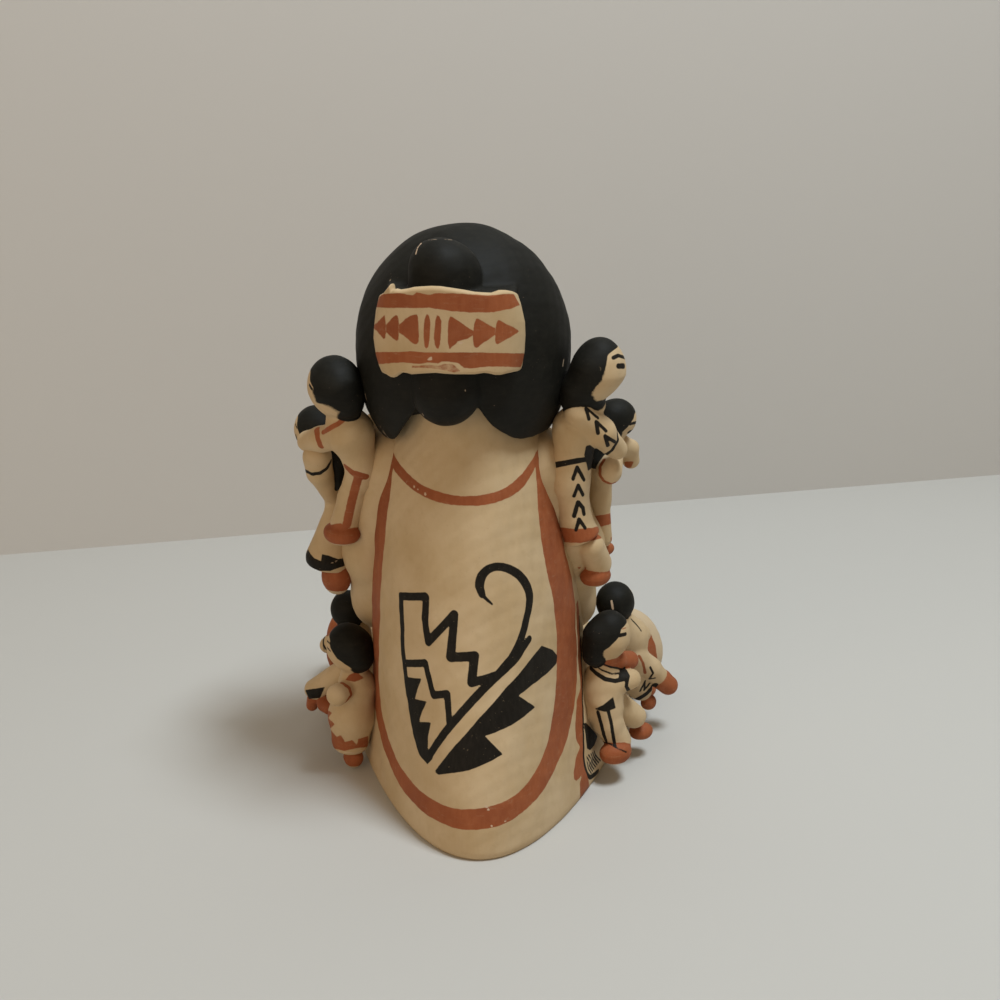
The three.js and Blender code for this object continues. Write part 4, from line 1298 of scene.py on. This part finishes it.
TABLE_COLOUR, TABLE_ROUGHNESS = (0.56, 0.552, 0.52), 0.75
WALL_COLOUR, WALL_ROUGHNESS = (0.585, 0.57, 0.54), 0.9
WALL_LEFT, WALL_RIGHT = (-3, -1.052), (3, 0.538)  # the wall's foot, seen from above, in metres
ROOM_DEPTH = ROOM_HEIGHT = 3
AIR_COLOUR, AIR_STRENGTH = (1.0, 0.80, 0.58, 1), 0.26
LIGHTS_AT = (0, 0, 0.1)  # the figure's middle, which the lights face
SENSOR = 36.0


def plain_material(name, colour, roughness, one_sided=False):
    """Matt and slightly cloudy. A one-sided one is clear from behind, so it never hides the figure."""
    material = bpy.data.materials.new(name)
    material.use_nodes = True
    nodes, link = material.node_tree.nodes, material.node_tree.links.new
    shader = nodes["Principled BSDF"]
    shader.inputs["Roughness"].default_value = roughness
    shader.inputs["Specular IOR Level"].default_value = 0.2
    cloudy = nodes.new("ShaderNodeTexNoise")
    cloudy.inputs["Scale"].default_value = 4.0
    cloudy.inputs["Detail"].default_value = 3.0
    ends = nodes.new("ShaderNodeMix")
    ends.data_type = "RGBA"
    ends.inputs[6].default_value = (*[c * 0.96 for c in colour], 1)
    ends.inputs[7].default_value = (*[c * 1.03 for c in colour], 1)
    link(cloudy.outputs[0], ends.inputs[0])
    link(ends.outputs[2], shader.inputs["Base Color"])
    if one_sided:
        clear, both = nodes.new("ShaderNodeBsdfTransparent"), nodes.new("ShaderNodeMixShader")
        link(nodes.new("ShaderNodeNewGeometry").outputs["Backfacing"], both.inputs[0])
        link(shader.outputs[0], both.inputs[1])
        link(clear.outputs[0], both.inputs[2])
        link(both.outputs[0], nodes["Material Output"].inputs[0])
    return material


def add_sheet(name, corners, material):
    mesh = bpy.data.meshes.new(name)
    mesh.from_pydata(corners, [], [(0, 1, 2, 3)])
    mesh.materials.append(material)
    sheet = bpy.data.objects.new(name, mesh)
    bpy.context.scene.collection.objects.link(sheet)


table_corners = [(*WALL_LEFT, 0), (*WALL_RIGHT, 0), (3, ROOM_DEPTH, 0), (-3, ROOM_DEPTH, 0)]
wall_corners = [(*WALL_RIGHT, -1), (*WALL_LEFT, -1), (*WALL_LEFT, ROOM_HEIGHT),
                (*WALL_RIGHT, ROOM_HEIGHT)]
add_sheet("table_top", table_corners, plain_material("pale_table", TABLE_COLOUR, TABLE_ROUGHNESS))
add_sheet("wall", wall_corners, plain_material("pale_wall", WALL_COLOUR, WALL_ROUGHNESS, one_sided=True))


def aim(made, way):
    made.rotation_euler = Vector(way).to_track_quat("-Z", "Y").to_euler()


def area_light(name, place, size, power, colour):
    """A square light."""
    light = bpy.data.lights.new(name, "AREA")
    light.shape, light.size = "SQUARE", size
    light.energy, light.color = power, colour
    made = bpy.data.objects.new(name, light)
    bpy.context.scene.collection.objects.link(made)
    made.location = place
    aim(made, Vector(LIGHTS_AT) - Vector(place))


area_light("key", (-0.34, 0.20, 1.2), 0.3, 11.2, (0.84, 0.93, 1.0))
area_light("fill", (0.6, 1.0, 0.45), 1.0, 3.4, (1.0, 0.76, 0.54))

world = bpy.data.worlds.new("room")
world.use_nodes = True
background = world.node_tree.nodes["Background"]
background.inputs[0].default_value = AIR_COLOUR
background.inputs[1].default_value = AIR_STRENGTH
bpy.context.scene.world = world

camera_data = bpy.data.cameras.new("camera")
camera_data.sensor_width = SENSOR
camera_data.lens = SENSOR * FOCAL / (2 * MIDDLE)
camera = bpy.data.objects.new("camera", camera_data)
bpy.context.scene.collection.objects.link(camera)
camera.location = ((EYE + SHIFT) * MM).tolist()
aim(camera, AHEAD)
bpy.context.scene.camera = camera
bpy.context.scene.view_settings.view_transform = "Standard"
